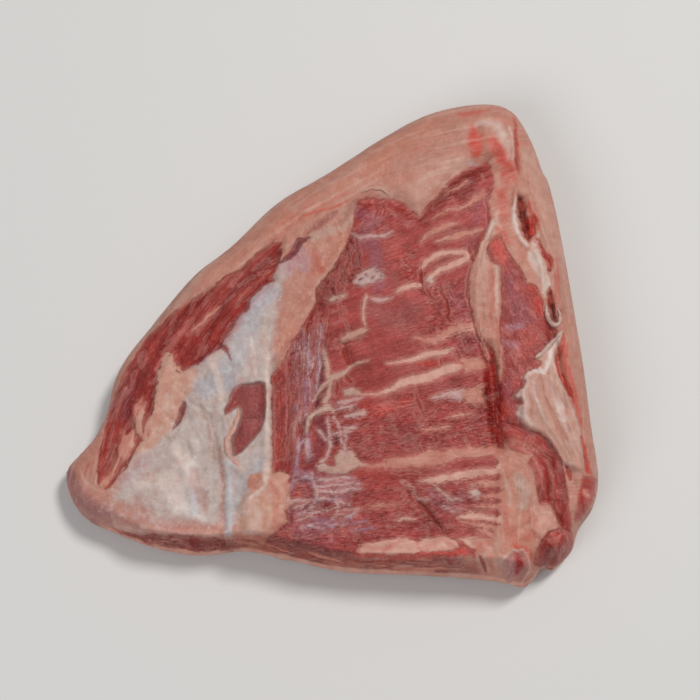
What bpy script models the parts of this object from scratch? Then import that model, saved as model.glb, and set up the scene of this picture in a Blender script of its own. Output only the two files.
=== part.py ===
"""Raw beef rump cap, lean side up: a muscle lying in the layer of fat that wraps its long sides.

All sizes are millimetres on a plan drawing, with +X to the right, +Y away from the cut side and +Z up.
The fat is a shallow bowl under the muscle. Its wall is wide on the two long sides and the blunt tip, and
on the cut side it is only the thin edge of the layer. Height comes from one function of the plan, which
both pieces share: a broad swell, a rounded shoulder round the outline, and the relief of the surface.
"""

import bpy
import numpy as np
from mathutils.geometry import delaunay_2d_cdt

MM = 0.001  # metres in a millimetre
DATUM = (0.0, -1.4)  # plan point that becomes the origin, below the middle of the piece
CENTRE = (10.0, -20.0)  # plan point from which every part of the outline can be seen

RIM_POINTS = 216  # points round each closed edge
CURVE_STEPS = 24  # straight steps that stand for the curve between two points of an outline
TOP_SPACING = 4.1  # between surface points of the muscle
LINE_SPACING = 4.0  # between surface points along its ridges, grooves and steps
FAT_SPACING = 6.0  # between surface points of the fat
HIDDEN_SPACING = 13.0  # between points of the flat base and of the face between the two pieces
ROW_CLEARANCE = 1.15  # least distance from a point of a row or ring to any point before it
GRID_CLEARANCE = 0.68  # and of a point of the grid, as a share of its spacing
NODE_GAP = 0.35  # clear gap between the muscle and the fat
BASE_INSET = 9.0  # from the widest line in to the flat base
LAYER_BASE = 3.5  # thickness of the fat under no muscle at all
LAYER_SHARE = 0.17  # and what it gains for each millimetre of height above it
LEAST_WALL = 3.0  # height of the muscle's side where it is thinnest
WALL_LEAN = 2.5  # how far the foot of that side lies inside its top
SWELL_REACH = 24.0  # how far one named height carries over the plan
EDGE_REACH = 18.0  # how far one named shoulder carries along the outline
RELIEF_FADE = 5.0  # the relief dies out over this much of the shoulder
SHOULDER_RINGS = (0.06, 0.26, 0.58)  # shares of the shoulder's width that carry a ring of points
STEEP_SHARE = 0.6  # the muscle's edge counts as steep where it is nearer the outline than this
STEEP_RINGS = (1.6, 3.4, 5.8)  # rings of points inside the muscle's edge where it is steep
FLANK = 1.3  # half widths from the crest of a line to the points on its flanks
UNDERSIDE_RINGS = (0.38, 0.71, 0.92)  # shares of the drop from the widest line to the base

# The widest line round the piece, clockwise from the thin tip.
OUTLINE = (
    (-139, -74), (-132, -64), (-125, -56), (-119, -43), (-115, -25), (-108, -11), (-98, 2), (-89.5, 13.5),
    (-73.8, 32.7), (-54, 49), (-30.5, 72.7), (-0.4, 91.2), (30, 111.8), (50, 123), (70, 128.7), (87, 129.7),
    (99, 125), (106.5, 113.6), (112, 99.2), (114.5, 90), (118, 82), (122, 61), (126, 34), (130.5, 0),
    (133.5, -25), (136, -52), (139, -76), (136, -92), (128, -104), (124, -115), (115, -124), (109, -123.5),
    (104, -129.5), (98, -133), (84, -130), (50, -127), (10, -125.5), (-20, -119.5), (-45, -114.5),
    (-68, -116.5), (-92, -112.7), (-111, -105.5), (-126, -99), (-135.5, -88),
)

# The line on top where the muscle meets the fat.
MEAT_EDGE = (
    (-125, -80), (-121, -62), (-114, -32), (-107, -18), (-97, -9), (-80, 7), (-66, 19), (-48, 30),
    (-38, 40), (-27, 49), (-12, 54), (4, 62), (15, 68), (28, 70), (47, 66), (66, 84), (82, 94), (95, 98),
    (98.5, 88), (99, 74), (103, 58), (106.5, 46), (110, 34), (112.5, 18), (113, 4), (116, -6), (119, -28),
    (126, -52), (130, -74), (129, -90),
    (123, -104), (119, -112), (112, -119), (106, -120), (101, -127), (84, -126), (50, -123), (10, -121),
    (-20, -116), (-45, -111), (-68, -112), (-92, -109), (-111, -102), (-122, -94),
)

# Height of the surface: plan point, height.
SWELL = (
    (30, 0, 47), (-10, -40, 42), (-55, -55, 36), (-100, -80, 27), (-134, -80, 19), (-95, -5, 31),
    (-60, 25, 35), (-30, 55, 37), (75, 100, 40), (35, 75, 44), (98, 20, 44), (122, 0, 37), (95, -85, 38),
    (115, -110, 31), (40, -112, 37), (-20, -100, 34), (-70, -105, 28), (20, -60, 44), (-40, 0, 41),
    (80, -20, 45),
)

# Shoulder round the outline: plan point, its width, the height of the widest line, its roundness.
SHOULDER = (
    (-138, -76, 10, 9, 2.0), (-118, -40, 16, 11, 2.0), (-90, 14, 22, 13, 2.0), (-31, 73, 24, 14, 2.0),
    (30, 111, 24, 14, 2.0), (86, 128, 22, 14, 2.0), (111, 99, 18, 14, 2.0), (121, 61, 15, 14, 2.0),
    (130, 0, 13, 13, 2.0), (136, -52, 12, 12, 2.0), (137, -80, 12, 10, 1.8), (124, -112, 9, 9, 1.5),
    (98, -133, 9, 8, 1.4), (50, -126, 7, 7, 1.3), (0, -123, 7, 7, 1.3), (-45, -114, 7, 7, 1.3),
    (-92, -112, 7, 7, 1.3), (-126, -98, 8, 8, 1.5),
)

# Areas that stand proud or lie low: height, softness of their edge, outline.
AREAS = {
    "upper_left_trough": (-3.2, 3.0, (
        (-26, 48), (-30, 24), (-41, 15), (-50, 0), (-58, -12), (-68, -20), (-79, -25), (-84, -14),
        (-89, -24), (-94, -44), (-104, -40), (-110, -30), (-97, -15), (-80, 5), (-52, 26), (-38, 40))),
    "left_tongue": (-2.2, 2.5, ((-119, -50), (-105, -45), (-98, -60), (-106, -72), (-115, -84), (-121, -75))),
    "silverskin_window": (-3.6, 1.8, (
        (-55, -47), (-45, -33), (-35, -32), (-34, -52), (-41, -63), (-50, -70), (-51, -57))),
    "silverskin_slit": (-1.6, 1.2, ((-77, -40), (-75, -43), (-78, -51), (-82, -55), (-80, -49))),
    "bare_strip": (-2.6, 1.6, ((-30, -22), (-21, -24), (-20, -78), (-31, -80))),
    "corner_lump": (3.0, 3.0, ((-43, -81), (-30, -79), (-22, -88), (-22, -104), (-34, -111), (-45, -110))),
    "upper_vein_pit": (-2.4, 2.0, ((-18, -82), (-8, -82), (-9, -92), (-17, -92))),
    "lower_vein_pit": (-2.4, 2.0, ((-9, -93), (0, -92), (-1, -103), (-8, -103))),
    "seam_flap": (2.8, 1.8, (
        (84, 56), (76, 40), (71, 22), (72, 5), (78, -20), (84, -22), (87, -8), (88, 18), (84, 32), (88, 54))),
    "right_flap": (2.4, 1.6, (
        (107, -27), (97, -35), (97, -54), (108, -59), (117, -74), (128, -78), (126, -55), (116, -32))),
    "lower_seam": (2.2, 2.4, (
        (84, -68), (99, -76), (106, -95), (114, -99), (108, -110), (101, -119), (82, -118))),
    "red_tongue": (-1.8, 2.0, (
        (88, -50), (112, -65), (119, -88), (117, -108), (111, -92), (108, -78), (98, -68), (86, -64))),
    "corner_lobe": (2.6, 3.0, ((103, -108), (113, -104), (120, -110), (117, -119), (108, -119))),
    "top_nub": (2.2, 2.4, ((79, 110), (82, 94), (88, 84), (97, 84), (96, 100), (90, 110))),
}

# Ridges and grooves: height, half width, path.
LINES = {
    "deep_groove": (-9.0, 3.2, ((86, -12), (84, -26), (82.5, -40), (83, -54), (86.5, -64))),
    "rim_crevice": (-8.0, 2.8, (
        (98, 112), (98.5, 88), (99, 74), (103, 58), (106.5, 46), (110, 34), (112.5, 18), (113, 4))),
    "crevice_foot": (-3.5, 2.6, ((113, 0), (116, -14), (119, -32), (122, -44))),
    "top_valley": (-3.6, 4.0, (
        (6, 52), (17, 66), (34, 66), (46, 57), (52, 64), (66, 82), (78, 88), (94, 92))),
    "speckled_valley": (-2.4, 4.0, ((8, 46), (0, 28), (-9, 12), (-16, -4), (-24, -20), (-30, -27))),
    "window_roll": (1.4, 2.0, ((-56, -44), (-53, -60), (-52, -72), (-45, -79))),
    "silverskin_step": (1.6, 2.4, ((-33, -22), (-33, -60), (-35, -84), (-45, -95))),
    "left_cord": (1.6, 5.0, ((-112, -22), (-96, -4), (-72, 20), (-42, 46), (-12, 68), (26, 92))),
    "tag": (2.0, 2.2, ((3, -10), (9, -7), (14, -5), (19, -6))),
    "tag_shadow": (-3.0, 2.6, ((6, -13), (9, -21))),
    "pad": (2.0, 4.2, ((15, 21), (22, 24))),
    "vein_knot": (2.0, 3.4, ((-10, -75), (2, -70), (14, -75), (28, -76))),
    "sheath": (1.4, 2.2, ((-15, -53), (-19, -68), (-22, -88))),
    "rib_1": (1.6, 2.0, ((13, -40), (30, -38), (48, -30), (66, -25))),
    "rib_2": (1.2, 1.8, ((28, -24), (40, -21), (55, -19))),
    "rib_3": (1.3, 1.8, ((42, -11), (56, -9), (72, -2))),
    "rib_4": (1.8, 2.6, ((28, -76), (50, -72), (84, -67))),
    "rib_5": (1.4, 2.0, ((45, -84), (62, -81), (85, -77))),
    "rib_6": (1.4, 2.0, ((62, 61), (71, 64), (78, 72))),
    "rib_7": (1.2, 1.8, ((45, 56), (58, 60), (70, 62))),
    "rib_8": (1.2, 1.8, ((55, 43), (66, 46), (78, 49))),
    "rib_9": (1.3, 1.8, ((47, 28), (58, 35), (72, 35))),
    "front_fat": (1.6, 3.0, ((16, -116), (35, -115), (58, -117))),
    "front_groove": (-2.0, 2.6, ((35, -85), (46, -95), (57, -110))),
}
COMB_ROWS = (-87, -95, -103, -110)  # short ribs that run left from the lower seam, by where they start
COMB_FROM, COMB_TO = 84, 66
COMB_HEIGHT, COMB_HALF_WIDTH = 1.4, 1.6

# Long slow waves over the whole surface: height, length, direction in degrees, phase.
WAVES = ((0.9, 71.0, 20.0, 0.4), (0.7, 47.0, 105.0, 1.9), (0.45, 29.0, 160.0, 3.1), (0.35, 19.0, 62.0, 5.0))


def clear_scene():
    for obj in list(bpy.data.objects):
        bpy.data.objects.remove(obj)


def closed_curve(points, count):
    """Evenly spaced points on the closed Catmull-Rom curve through the given points."""
    here = np.array(points, float)
    before, after, later = np.roll(here, 1, 0), np.roll(here, -1, 0), np.roll(here, -2, 0)
    t = np.linspace(0, 1, CURVE_STEPS, endpoint=False)[None, :, None]
    a, b, c, d = before[:, None], here[:, None], after[:, None], later[:, None]
    bend = (2 * a - 5 * b + 4 * c - d) * t**2 + (3 * b - a - 3 * c + d) * t**3
    curve = (0.5 * (2 * b + (c - a) * t + bend)).reshape(-1, 2)
    curve = np.vstack([curve, curve[:1]])
    along = np.concatenate([[0], np.cumsum(np.hypot(*np.diff(curve, axis=0).T))])
    wanted = np.linspace(0, along[-1], count, endpoint=False)
    return np.stack([np.interp(wanted, along, curve[:, k]) for k in (0, 1)], 1)


def seen_from_centre(curve, towards):
    """The points of a closed curve that lie, seen from the centre, in line with the given points."""
    rays = curve - CENTRE
    angle = np.unwrap(np.arctan2(rays[:, 1], rays[:, 0]))
    order = np.argsort(angle % (2 * np.pi))
    angle, reach = (angle % (2 * np.pi))[order], np.hypot(*rays.T)[order]
    rays = towards - CENTRE
    wanted = np.arctan2(rays[:, 1], rays[:, 0])
    length = np.interp(wanted % (2 * np.pi), angle, reach, period=2 * np.pi)
    return CENTRE + length[:, None] * np.stack([np.cos(wanted), np.sin(wanted)], 1)


def pulled_in(curve, distance):
    """The curve with each point moved the given distance towards the centre."""
    rays = CENTRE - curve
    return curve + rays / np.hypot(*rays.T)[:, None] * np.reshape(distance, (-1, 1))


def offset_inwards(curve, distance):
    """The points of a clockwise curve moved the given distance along its inward normal."""
    run = np.roll(curve, -1, 0) - np.roll(curve, 1, 0)
    inward = np.stack([run[:, 1], -run[:, 0]], 1) / np.hypot(*run.T)[:, None]
    return curve + inward * np.reshape(distance, (-1, 1))


def distance_to_path(points, path, closed=False):
    """Distance from each point to the nearest place on a line through the path's points."""
    starts = np.array(path, float)
    ends = np.roll(starts, -1, 0)
    if not closed:
        starts, ends = starts[:-1], ends[:-1]
    run = ends - starts
    offset = points[:, None] - starts
    share = np.clip((offset * run).sum(2) / (run**2).sum(1), 0, 1)
    return np.hypot(*np.moveaxis(offset - share[..., None] * run, 2, 0)).min(1)


def is_inside(points, outline):
    """True for each point inside a closed outline, by counting the edges to its right."""
    a = np.array(outline, float)
    b = np.roll(a, -1, 0)
    x, y = points[:, :1], points[:, 1:]
    spans = (a[:, 1] > y) != (b[:, 1] > y)
    rise = np.where(a[:, 1] == b[:, 1], 1.0, b[:, 1] - a[:, 1])
    crossing = a[:, 0] + (y - a[:, 1]) * (b[:, 0] - a[:, 0]) / rise
    return (spans & (x < crossing)).sum(1) % 2 == 1


def blended(points, rows, reach):
    """Each named value at each point: the rows' values, weighted by a bell curve of their distance."""
    rows = np.array(rows, float)
    away = np.hypot(*np.moveaxis(points[:, None] - rows[:, :2], 2, 0))
    weight = np.exp(-0.5 * (away / reach) ** 2) + 1e-9
    return (weight @ rows[:, 2:] / weight.sum(1, keepdims=True)).T


def smooth_step(value):
    value = np.clip(value, 0, 1)
    return value * value * (3 - 2 * value)


def relief(points):
    """The surface's own form on top of the swell: areas, lines, the comb of short ribs and the waves."""
    height = np.zeros(len(points))
    for rise, softness, outline in AREAS.values():
        signed = distance_to_path(points, outline, closed=True)
        signed = np.where(is_inside(points, outline), signed, -signed)
        height += rise * smooth_step(0.5 + signed / (2 * softness))
    lines = list(LINES.values())
    lines += [(COMB_HEIGHT, COMB_HALF_WIDTH, ((COMB_FROM, y), (COMB_TO, y - 1))) for y in COMB_ROWS]
    for rise, half_width, path in lines:
        height += rise * np.exp(-((distance_to_path(points, path) / half_width) ** 2))
    for rise, length, degrees, phase in WAVES:
        turn = np.radians(degrees)
        along = points @ (np.cos(turn), np.sin(turn))
        height += rise * np.sin(2 * np.pi * along / length + phase)
    return height


def top_height(points, outline):
    """Height of the upper surface: from the widest line up a rounded shoulder to the swell and its relief."""
    from_edge = np.where(is_inside(points, outline), distance_to_path(points, outline, closed=True), 0)
    (swell,) = blended(points, SWELL, SWELL_REACH)
    width, start, roundness = blended(points, SHOULDER, EDGE_REACH)
    left = 1 - np.clip(from_edge / width, 0, 1)
    rise = (1 - left**roundness) ** (1 / roundness)
    full = swell + relief(points) * smooth_step(from_edge / RELIEF_FADE)
    return start + (full - start) * rise


def layer_height(points):
    """Height of the face between the fat and the muscle: the layer is thickest under the thick middle."""
    (swell,) = blended(points, SWELL, SWELL_REACH)
    return LAYER_BASE + LAYER_SHARE * swell


def shoulder_rings(outline):
    """Rings of points on the steep shoulder, each a share of its width inside the widest line."""
    width = blended(outline, SHOULDER, EDGE_REACH)[0]
    return [offset_inwards(outline, share * width) for share in SHOULDER_RINGS]


def steep_rings(outline, edge):
    """Rings just inside the muscle's edge, where that edge lies on the steep shoulder."""
    width = blended(edge, SHOULDER, EDGE_REACH)[0]
    is_steep = distance_to_path(edge, outline, closed=True) < STEEP_SHARE * width
    return [offset_inwards(edge, distance)[is_steep] for distance in STEEP_RINGS]


def beside(path, offset, closed=False):
    """Even points along a path, moved sideways from it: with a closed outline, outwards is positive."""
    corners = np.array(path, float)
    if closed:
        corners = np.vstack([corners, corners[:1]])
    run = np.diff(corners, axis=0)
    length = np.hypot(*run.T)
    along = np.concatenate([[0], np.cumsum(length)])
    wanted = np.linspace(0, along[-1], 1 + max(2, round(along[-1] / LINE_SPACING)))
    place = np.stack([np.interp(wanted, along, corners[:, k]) for k in (0, 1)], 1)
    run = run / length[:, None]
    here = run[np.clip(np.searchsorted(along, wanted, side="right") - 1, 0, len(run) - 1)]
    return place + offset * np.stack([-here[:, 1], here[:, 0]], 1)


def feature_points():
    """Points on the crest and flanks of each line and on both sides of each area's step."""
    rows = []
    for _, half_width, path in LINES.values():
        rows += [beside(path, side * half_width) for side in (0, FLANK, -FLANK)]
    for _, softness, path in AREAS.values():
        rows += [beside(path, side * softness, closed=True) for side in (1, -1)]
    return rows


def filled(loops, extra, spacing):
    """Triangles over the plan inside the first loop and outside the others, on a staggered grid of points.

    The extra points are kept where they fall inside, and the grid's own points stay clear of them.
    """
    outer = loops[0]
    rows = np.arange(outer[:, 1].min(), outer[:, 1].max(), spacing * np.sqrt(0.75))
    columns = np.arange(outer[:, 0].min(), outer[:, 0].max(), spacing)
    x, y = np.meshgrid(columns, rows)
    x[1::2] += spacing / 2
    grid = np.stack([x.ravel(), y.ravel()], 1)
    kept = np.vstack(loops)
    clearances = [ROW_CLEARANCE] * len(extra) + [GRID_CLEARANCE * spacing]
    for candidates, clearance in zip([*extra, grid], clearances):
        inside = is_inside(candidates, outer)
        for hole in loops[1:]:
            inside &= ~is_inside(candidates, hole)
        candidates = candidates[inside]
        nearest = np.hypot(*np.moveaxis(candidates[:, None] - kept, 2, 0)).min(1)
        kept = np.vstack([kept, candidates[nearest > clearance]])
    edges = []
    first = 0  # index of the loop's first point
    for loop in loops:
        count = len(loop)
        edges += [(first + k, first + (k + 1) % count) for k in range(count)]
        first += count
    faces = np.array(delaunay_2d_cdt([tuple(p) for p in kept], edges, [], 1, 1e-6)[2])
    for hole in loops[1:]:
        faces = faces[~is_inside(kept[faces].mean(1), hole)]
    return kept, faces


def raised(points, height):
    return np.column_stack([points, np.broadcast_to(height, len(points))])


class Shell:
    """Gathers the sheets and bands of one closed solid, and welds them where their points meet."""

    def __init__(self):
        self.points = []
        self.faces = []

    def sheet(self, plan, faces, height, upwards):
        first = len(self.points)
        self.points += [tuple(p) for p in raised(plan, height)]
        for a, b, c in faces:
            turn = (plan[b][0] - plan[a][0]) * (plan[c][1] - plan[a][1])
            turn -= (plan[b][1] - plan[a][1]) * (plan[c][0] - plan[a][0])
            corners = (a, b, c) if (turn > 0) == upwards else (a, c, b)
            self.faces.append(tuple(first + k for k in corners))

    def band(self, upper, lower, outwards=True):
        """Quads between two rings that run clockwise, split alike."""
        first, count = len(self.points), len(upper)
        self.points += [tuple(p) for p in upper] + [tuple(p) for p in lower]
        for k in range(count):
            a, b = first + k, first + (k + 1) % count
            c, d = b + count, a + count
            pair = [(a, b, c), (a, c, d)]
            self.faces += pair if outwards else [face[::-1] for face in pair]

    def solid(self, name, material):
        """The welded mesh as an object, with its points in metres from the datum."""
        shift = np.array([*DATUM, 0.0])
        keys = {}
        index = [keys.setdefault(tuple(np.round(p, 4)), len(keys)) for p in self.points]
        places = (np.array(list(keys)) - shift) * MM
        faces = [tuple(index[k] for k in face) for face in self.faces]
        faces = [face for face in faces if len(set(face)) == 3]
        mesh = bpy.data.meshes.new(name)
        mesh.from_pydata(places.tolist(), [], faces)
        mesh.shade_smooth()
        mesh.materials.append(material)
        obj = bpy.data.objects.new(name, mesh)
        bpy.context.scene.collection.objects.link(obj)
        return obj


def wall_foot(edge, edge_height):
    """Plan and height of the ring where the muscle's side meets its underside."""
    foot = pulled_in(edge, WALL_LEAN)
    return foot, np.minimum(layer_height(foot), edge_height - LEAST_WALL)


def make_lean(outline, edge, material):
    """The muscle: its upper surface, a side that leans in a little, and a plain underside on the fat."""
    shell = Shell()
    plan, faces = filled([edge], steep_rings(outline, edge) + feature_points(), TOP_SPACING)
    shell.sheet(plan, faces, top_height(plan, outline), upwards=True)
    rim_height = top_height(edge, outline)
    foot, foot_height = wall_foot(edge, rim_height)
    shell.band(raised(edge, rim_height), raised(foot, foot_height))
    plan, faces = filled([foot], [], HIDDEN_SPACING)
    under = layer_height(plan)
    under[: len(foot)] = foot_height
    shell.sheet(plan, faces, under, upwards=False)
    return shell.solid("lean_meat", material)


def make_fat(outline, edge, material):
    """The fat: a flat base, a rounded underside, the top of the wall, its inner side and the bowl's floor."""
    shell = Shell()
    inner = pulled_in(edge, -NODE_GAP)
    plan, faces = filled([outline, inner], shoulder_rings(outline) + feature_points(), FAT_SPACING)
    shell.sheet(plan, faces, top_height(plan, outline), upwards=True)

    widest = blended(outline, SHOULDER, EDGE_REACH)[1]
    upper = raised(outline, top_height(outline, outline))
    for drop in (*UNDERSIDE_RINGS, 1.0):
        inset = BASE_INSET * (1 - np.sqrt(1 - drop**2))
        lower = raised(pulled_in(outline, inset), widest * (1 - drop))
        shell.band(upper, lower)
        upper = lower
    base = pulled_in(outline, BASE_INSET)
    plan, faces = filled([base], [], HIDDEN_SPACING)
    shell.sheet(plan, faces, 0.0, upwards=False)

    inner_height = top_height(inner, outline)
    foot, foot_height = wall_foot(edge, top_height(edge, outline))
    foot = pulled_in(foot, -NODE_GAP)
    shell.band(raised(inner, inner_height), raised(foot, foot_height - NODE_GAP), outwards=False)
    plan, faces = filled([foot], [], HIDDEN_SPACING)
    floor = layer_height(plan) - NODE_GAP
    floor[: len(foot)] = foot_height - NODE_GAP
    shell.sheet(plan, faces, floor, upwards=True)
    return shell.solid("fat_cap", material)


def plain_material(name, colour, roughness):
    material = bpy.data.materials.new(name)
    material.use_nodes = True
    shader = material.node_tree.nodes["Principled BSDF"]
    shader.inputs["Base Color"].default_value = (*colour, 1.0)
    shader.inputs["Roughness"].default_value = roughness
    shader.inputs["Metallic"].default_value = 0.0
    return material


def main():
    clear_scene()
    lean = plain_material("lean_meat", (0.40, 0.06, 0.05), 0.45)
    fat = plain_material("fat_cap", (0.62, 0.32, 0.24), 0.50)
    outline = closed_curve(OUTLINE, RIM_POINTS)
    edge = seen_from_centre(closed_curve(MEAT_EDGE, 4 * RIM_POINTS), outline)
    make_lean(outline, edge, lean)
    make_fat(outline, edge, fat)


main()
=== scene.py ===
"""Raw beef rump cap, lean side up: wet muscle with its silverskin, seams and ribs of fat, lying in the layer
of fat that wraps its long sides.

Lengths are millimetres on a plan drawing, +X right, +Y away from the cut side, +Z up, and go to metres from
the datum when a mesh is made. One function gives the top's height, tissues and colours at any plan point, so
that the muscle and the fat meet without a join. A few cords that stand clear of the surface lie on it.

In the tables, a place is a closed outline of plan points, or a stroke whose points each carry a half width.
"""

import bpy
import numpy as np
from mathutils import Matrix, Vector


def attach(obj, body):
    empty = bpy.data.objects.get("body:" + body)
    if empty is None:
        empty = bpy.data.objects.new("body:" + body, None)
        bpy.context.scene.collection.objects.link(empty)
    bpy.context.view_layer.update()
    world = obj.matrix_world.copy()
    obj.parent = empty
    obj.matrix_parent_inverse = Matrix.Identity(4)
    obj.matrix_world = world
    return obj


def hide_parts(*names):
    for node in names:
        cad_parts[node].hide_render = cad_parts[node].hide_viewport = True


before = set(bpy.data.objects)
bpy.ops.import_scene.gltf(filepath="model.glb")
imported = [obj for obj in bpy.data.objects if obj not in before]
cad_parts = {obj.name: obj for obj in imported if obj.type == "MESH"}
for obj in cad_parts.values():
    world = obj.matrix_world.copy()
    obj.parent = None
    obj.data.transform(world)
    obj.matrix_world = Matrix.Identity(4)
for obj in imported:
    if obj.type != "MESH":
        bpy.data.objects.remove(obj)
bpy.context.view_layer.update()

MM = 0.001  # metres in a millimetre
DATUM = (0.0, -1.4)  # plan point that is the origin
CENTRE = np.array((10.0, -20.0))  # plan point from which the whole outline is in sight

HALF_GRID = 149  # squares from the middle of the muscle's top to its edge
FAT_COLUMNS = 8 * HALF_GRID  # columns of points round the fat, one for each point of the muscle's edge
FAT_TOP_ROWS = 46
FAT_SIDE_ROWS = 22
FAT_BASE_ROWS = 8
EDGE_POINTS = 2400  # on the muscle's edge, before they are spread like the fat's columns
RIM_POINTS = 216  # on the widest line where distances are measured from it
CLOSED_STEPS, OPEN_STEPS = 24, 12  # steps from one point of a curve to the next
WEB_BANDS, LIP_FRINGES = 38, 26  # seeded bands of tissue
WEB_STEP = 2.2  # from one point of a web band to the next
SPLIT_DEPTH = 0.35
SLUMP_SHARE = 0.4  # of a tear's depth that the surface sinks
NOISE_TABLE = 128  # random numbers along each side of a noise table
SIDE_GAP = 0.01  # clear gap between the muscle's side and the fat
BASE_INSET = 9.0  # from the widest line in to the flat base
LAYER_BASE, LAYER_SHARE = 3.5, 0.17  # thickness of the fat below: at no height, and for each mm of height
LEAST_WALL, WALL_LEAN = 3.0, 2.5  # the muscle's side: least height, and how far its foot is set in
SWELL_REACH, EDGE_REACH = 24.0, 18.0  # how far a row of SWELL and of SHOULDER makes itself felt
RELIEF_FADE = 5.0  # from the widest line in to where forms and lines have their full height
FINISH_REACH = 4.0  # depths in a cover or a tear count up to this in a finish, inside and outside
GROUND_WET, GROUND_RUGGED = 0.22, 0.25  # where no row of WET or of RUGGED says otherwise
LAYER_GAP = 0.3  # clear gap between the muscle's underside and the fat below it
STRAND_SIDES, STRAND_STEP, STRAND_LEAST = 8, 0.6, 9  # sides of a strand, mm from row to row, and least rows

# Colours as they show on a screen, 0 to 255.
PALETTE = {
    "lean": (160, 71, 66), "lean_bright": (174, 80, 71), "lean_pink": (164, 90, 87), "lean_violet": (153, 77, 82),
    "crimson": (155, 52, 44), "deep_red": (128, 37, 32), "gash": (110, 24, 20), "plum": (124, 46, 54),
    "lilac": (149, 100, 115), "lilac_pale": (178, 144, 152), "orange_red": (188, 74, 60), "rust": (132, 68, 57),
    "fat": (184, 129, 113), "fat_pale": (188, 143, 128), "fat_orange": (186, 124, 105), "tan": (166, 115, 99),
    "cream": (183, 147, 133), "chalk": (190, 161, 151), "silver": (185, 168, 161), "silver_blue": (170, 165, 170),
    "skin_pink": (178, 134, 127), "tip_pink": (154, 102, 99), "blush": (186, 78, 64), "skin_edge": (194, 151, 138),
    "film": (206, 184, 174), "lean_dim": (146, 77, 73), "film_blue": (188, 186, 190), "brown": (122, 78, 66),
    "rib": (186, 122, 106), "rib_pale": (204, 155, 140), "wound": (164, 34, 22), "cut_red": (142, 28, 20),
    "pad": (182, 152, 147), "web": (190, 150, 146), "white": (220, 206, 200), "wedge": (198, 152, 134),
    "ember": (196, 70, 52),
}

# The widest line round the piece, clockwise from the thin tip.
OUTLINE = (
    (-139, -74), (-132, -64), (-125, -56), (-119, -43), (-115, -25), (-108, -11), (-98, 2), (-89.5, 13.5),
    (-73.8, 32.7), (-54, 49), (-30.5, 72.7), (-0.4, 91.2), (30, 111.8), (50, 123), (70, 128.7), (87, 129.7),
    (99, 125), (106.5, 113.6), (112, 99.2), (114.5, 90), (118, 82), (122, 61), (126, 34), (130.5, 0), (133.5, -25),
    (136, -52), (139, -76), (136, -92), (128, -104), (124, -115), (115, -124), (109, -123.5), (104, -129.5),
    (98, -133), (84, -130), (50, -127), (10, -125.5), (-20, -119.5), (-45, -114.5), (-68, -116.5), (-92, -112.7),
    (-111, -105.5), (-126, -99), (-135.5, -88),
)

# The line on top where the muscle meets the fat.
MEAT_EDGE = (
    (-125, -80), (-121, -62), (-114, -32), (-107, -18), (-97, -9), (-80, 7), (-66, 19), (-48, 30), (-38, 40),
    (-27, 49), (-12, 54), (4, 62), (15, 68), (28, 70), (47, 66), (66, 84), (82, 94), (95, 98), (98.5, 88), (99, 74),
    (103, 58), (106.5, 46), (110, 34), (112.5, 18), (113, 4), (116, -6), (119, -28), (126, -52), (130, -74),
    (129, -90), (123, -104), (119, -112), (112, -119), (106, -120), (101, -127), (84, -126), (50, -123), (10, -121),
    (-20, -116), (-45, -111), (-68, -112), (-92, -109), (-111, -102), (-122, -94),
)

# Height of the surface: plan point, height.
SWELL = (
    (30, 0, 47), (-10, -40, 42), (-55, -55, 36), (-100, -80, 27), (-134, -80, 19), (-95, -5, 31), (-60, 25, 35),
    (-30, 55, 37), (75, 100, 40), (35, 75, 44), (98, 20, 44), (122, 0, 37), (95, -85, 38), (115, -110, 31),
    (40, -112, 37), (-20, -100, 34), (-70, -105, 28), (20, -60, 44), (-40, 0, 41), (80, -20, 45),
)

# Shoulder round the outline: plan point, its width, the height of the widest line, its roundness.
SHOULDER = (
    (-138, -76, 10, 9, 2.0), (-118, -40, 16, 11, 2.0), (-90, 14, 22, 13, 2.0), (-31, 73, 24, 14, 2.0),
    (30, 111, 24, 14, 2.0), (86, 128, 22, 14, 2.0), (111, 99, 18, 14, 2.0), (121, 61, 15, 14, 2.0),
    (130, 0, 13, 13, 2.0), (136, -52, 12, 12, 2.0), (137, -80, 12, 10, 1.8), (124, -112, 9, 9, 1.5),
    (98, -133, 9, 8, 1.4), (50, -126, 7, 7, 1.3), (0, -123, 7, 7, 1.3), (-45, -114, 7, 7, 1.3),
    (-92, -112, 7, 7, 1.3), (-126, -98, 8, 8, 1.5),
)

TROUGH = (
    (-24, 47), (-26.5, 41), (-27.5, 33.5), (-30, 23.5), (-35.5, 21), (-42, 14.5), (-45, 7), (-48.5, 3.5),
    (-52, -3.5), (-56, -9), (-57, -14), (-62, -16), (-66, -19), (-69, -22), (-74, -23), (-78, -25), (-82, -22),
    (-84, -15), (-86, -12), (-90, -22), (-91, -30), (-93, -45), (-97, -55), (-98.5, -60), (-104, -69.5),
    (-108, -74.5), (-110.5, -80), (-115.5, -85), (-119.5, -83.5), (-120.5, -73), (-119.5, -60), (-118, -48),
    (-114, -36), (-109, -24), (-103, -14), (-97, -4), (-90.5, 3), (-79, 11), (-70, 16), (-62, 19.5), (-56.5, 25.5),
    (-49, 29.5), (-42.5, 36.5), (-36, 42), (-30, 46),
)
WINDOW = (
    (-37, -31.5), (-34, -33), (-33.5, -37.5), (-33.5, -46.5), (-34.5, -53), (-36, -58), (-41, -63), (-46, -68.5),
    (-50, -70), (-51.5, -62), (-49.5, -57), (-47.5, -52), (-47, -46), (-48, -44), (-51.5, -46.5), (-55, -48.5),
    (-55, -45.5), (-53, -42), (-52.5, -38), (-50.5, -34.5), (-46.5, -32.5), (-42, -32.5),
)
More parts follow.
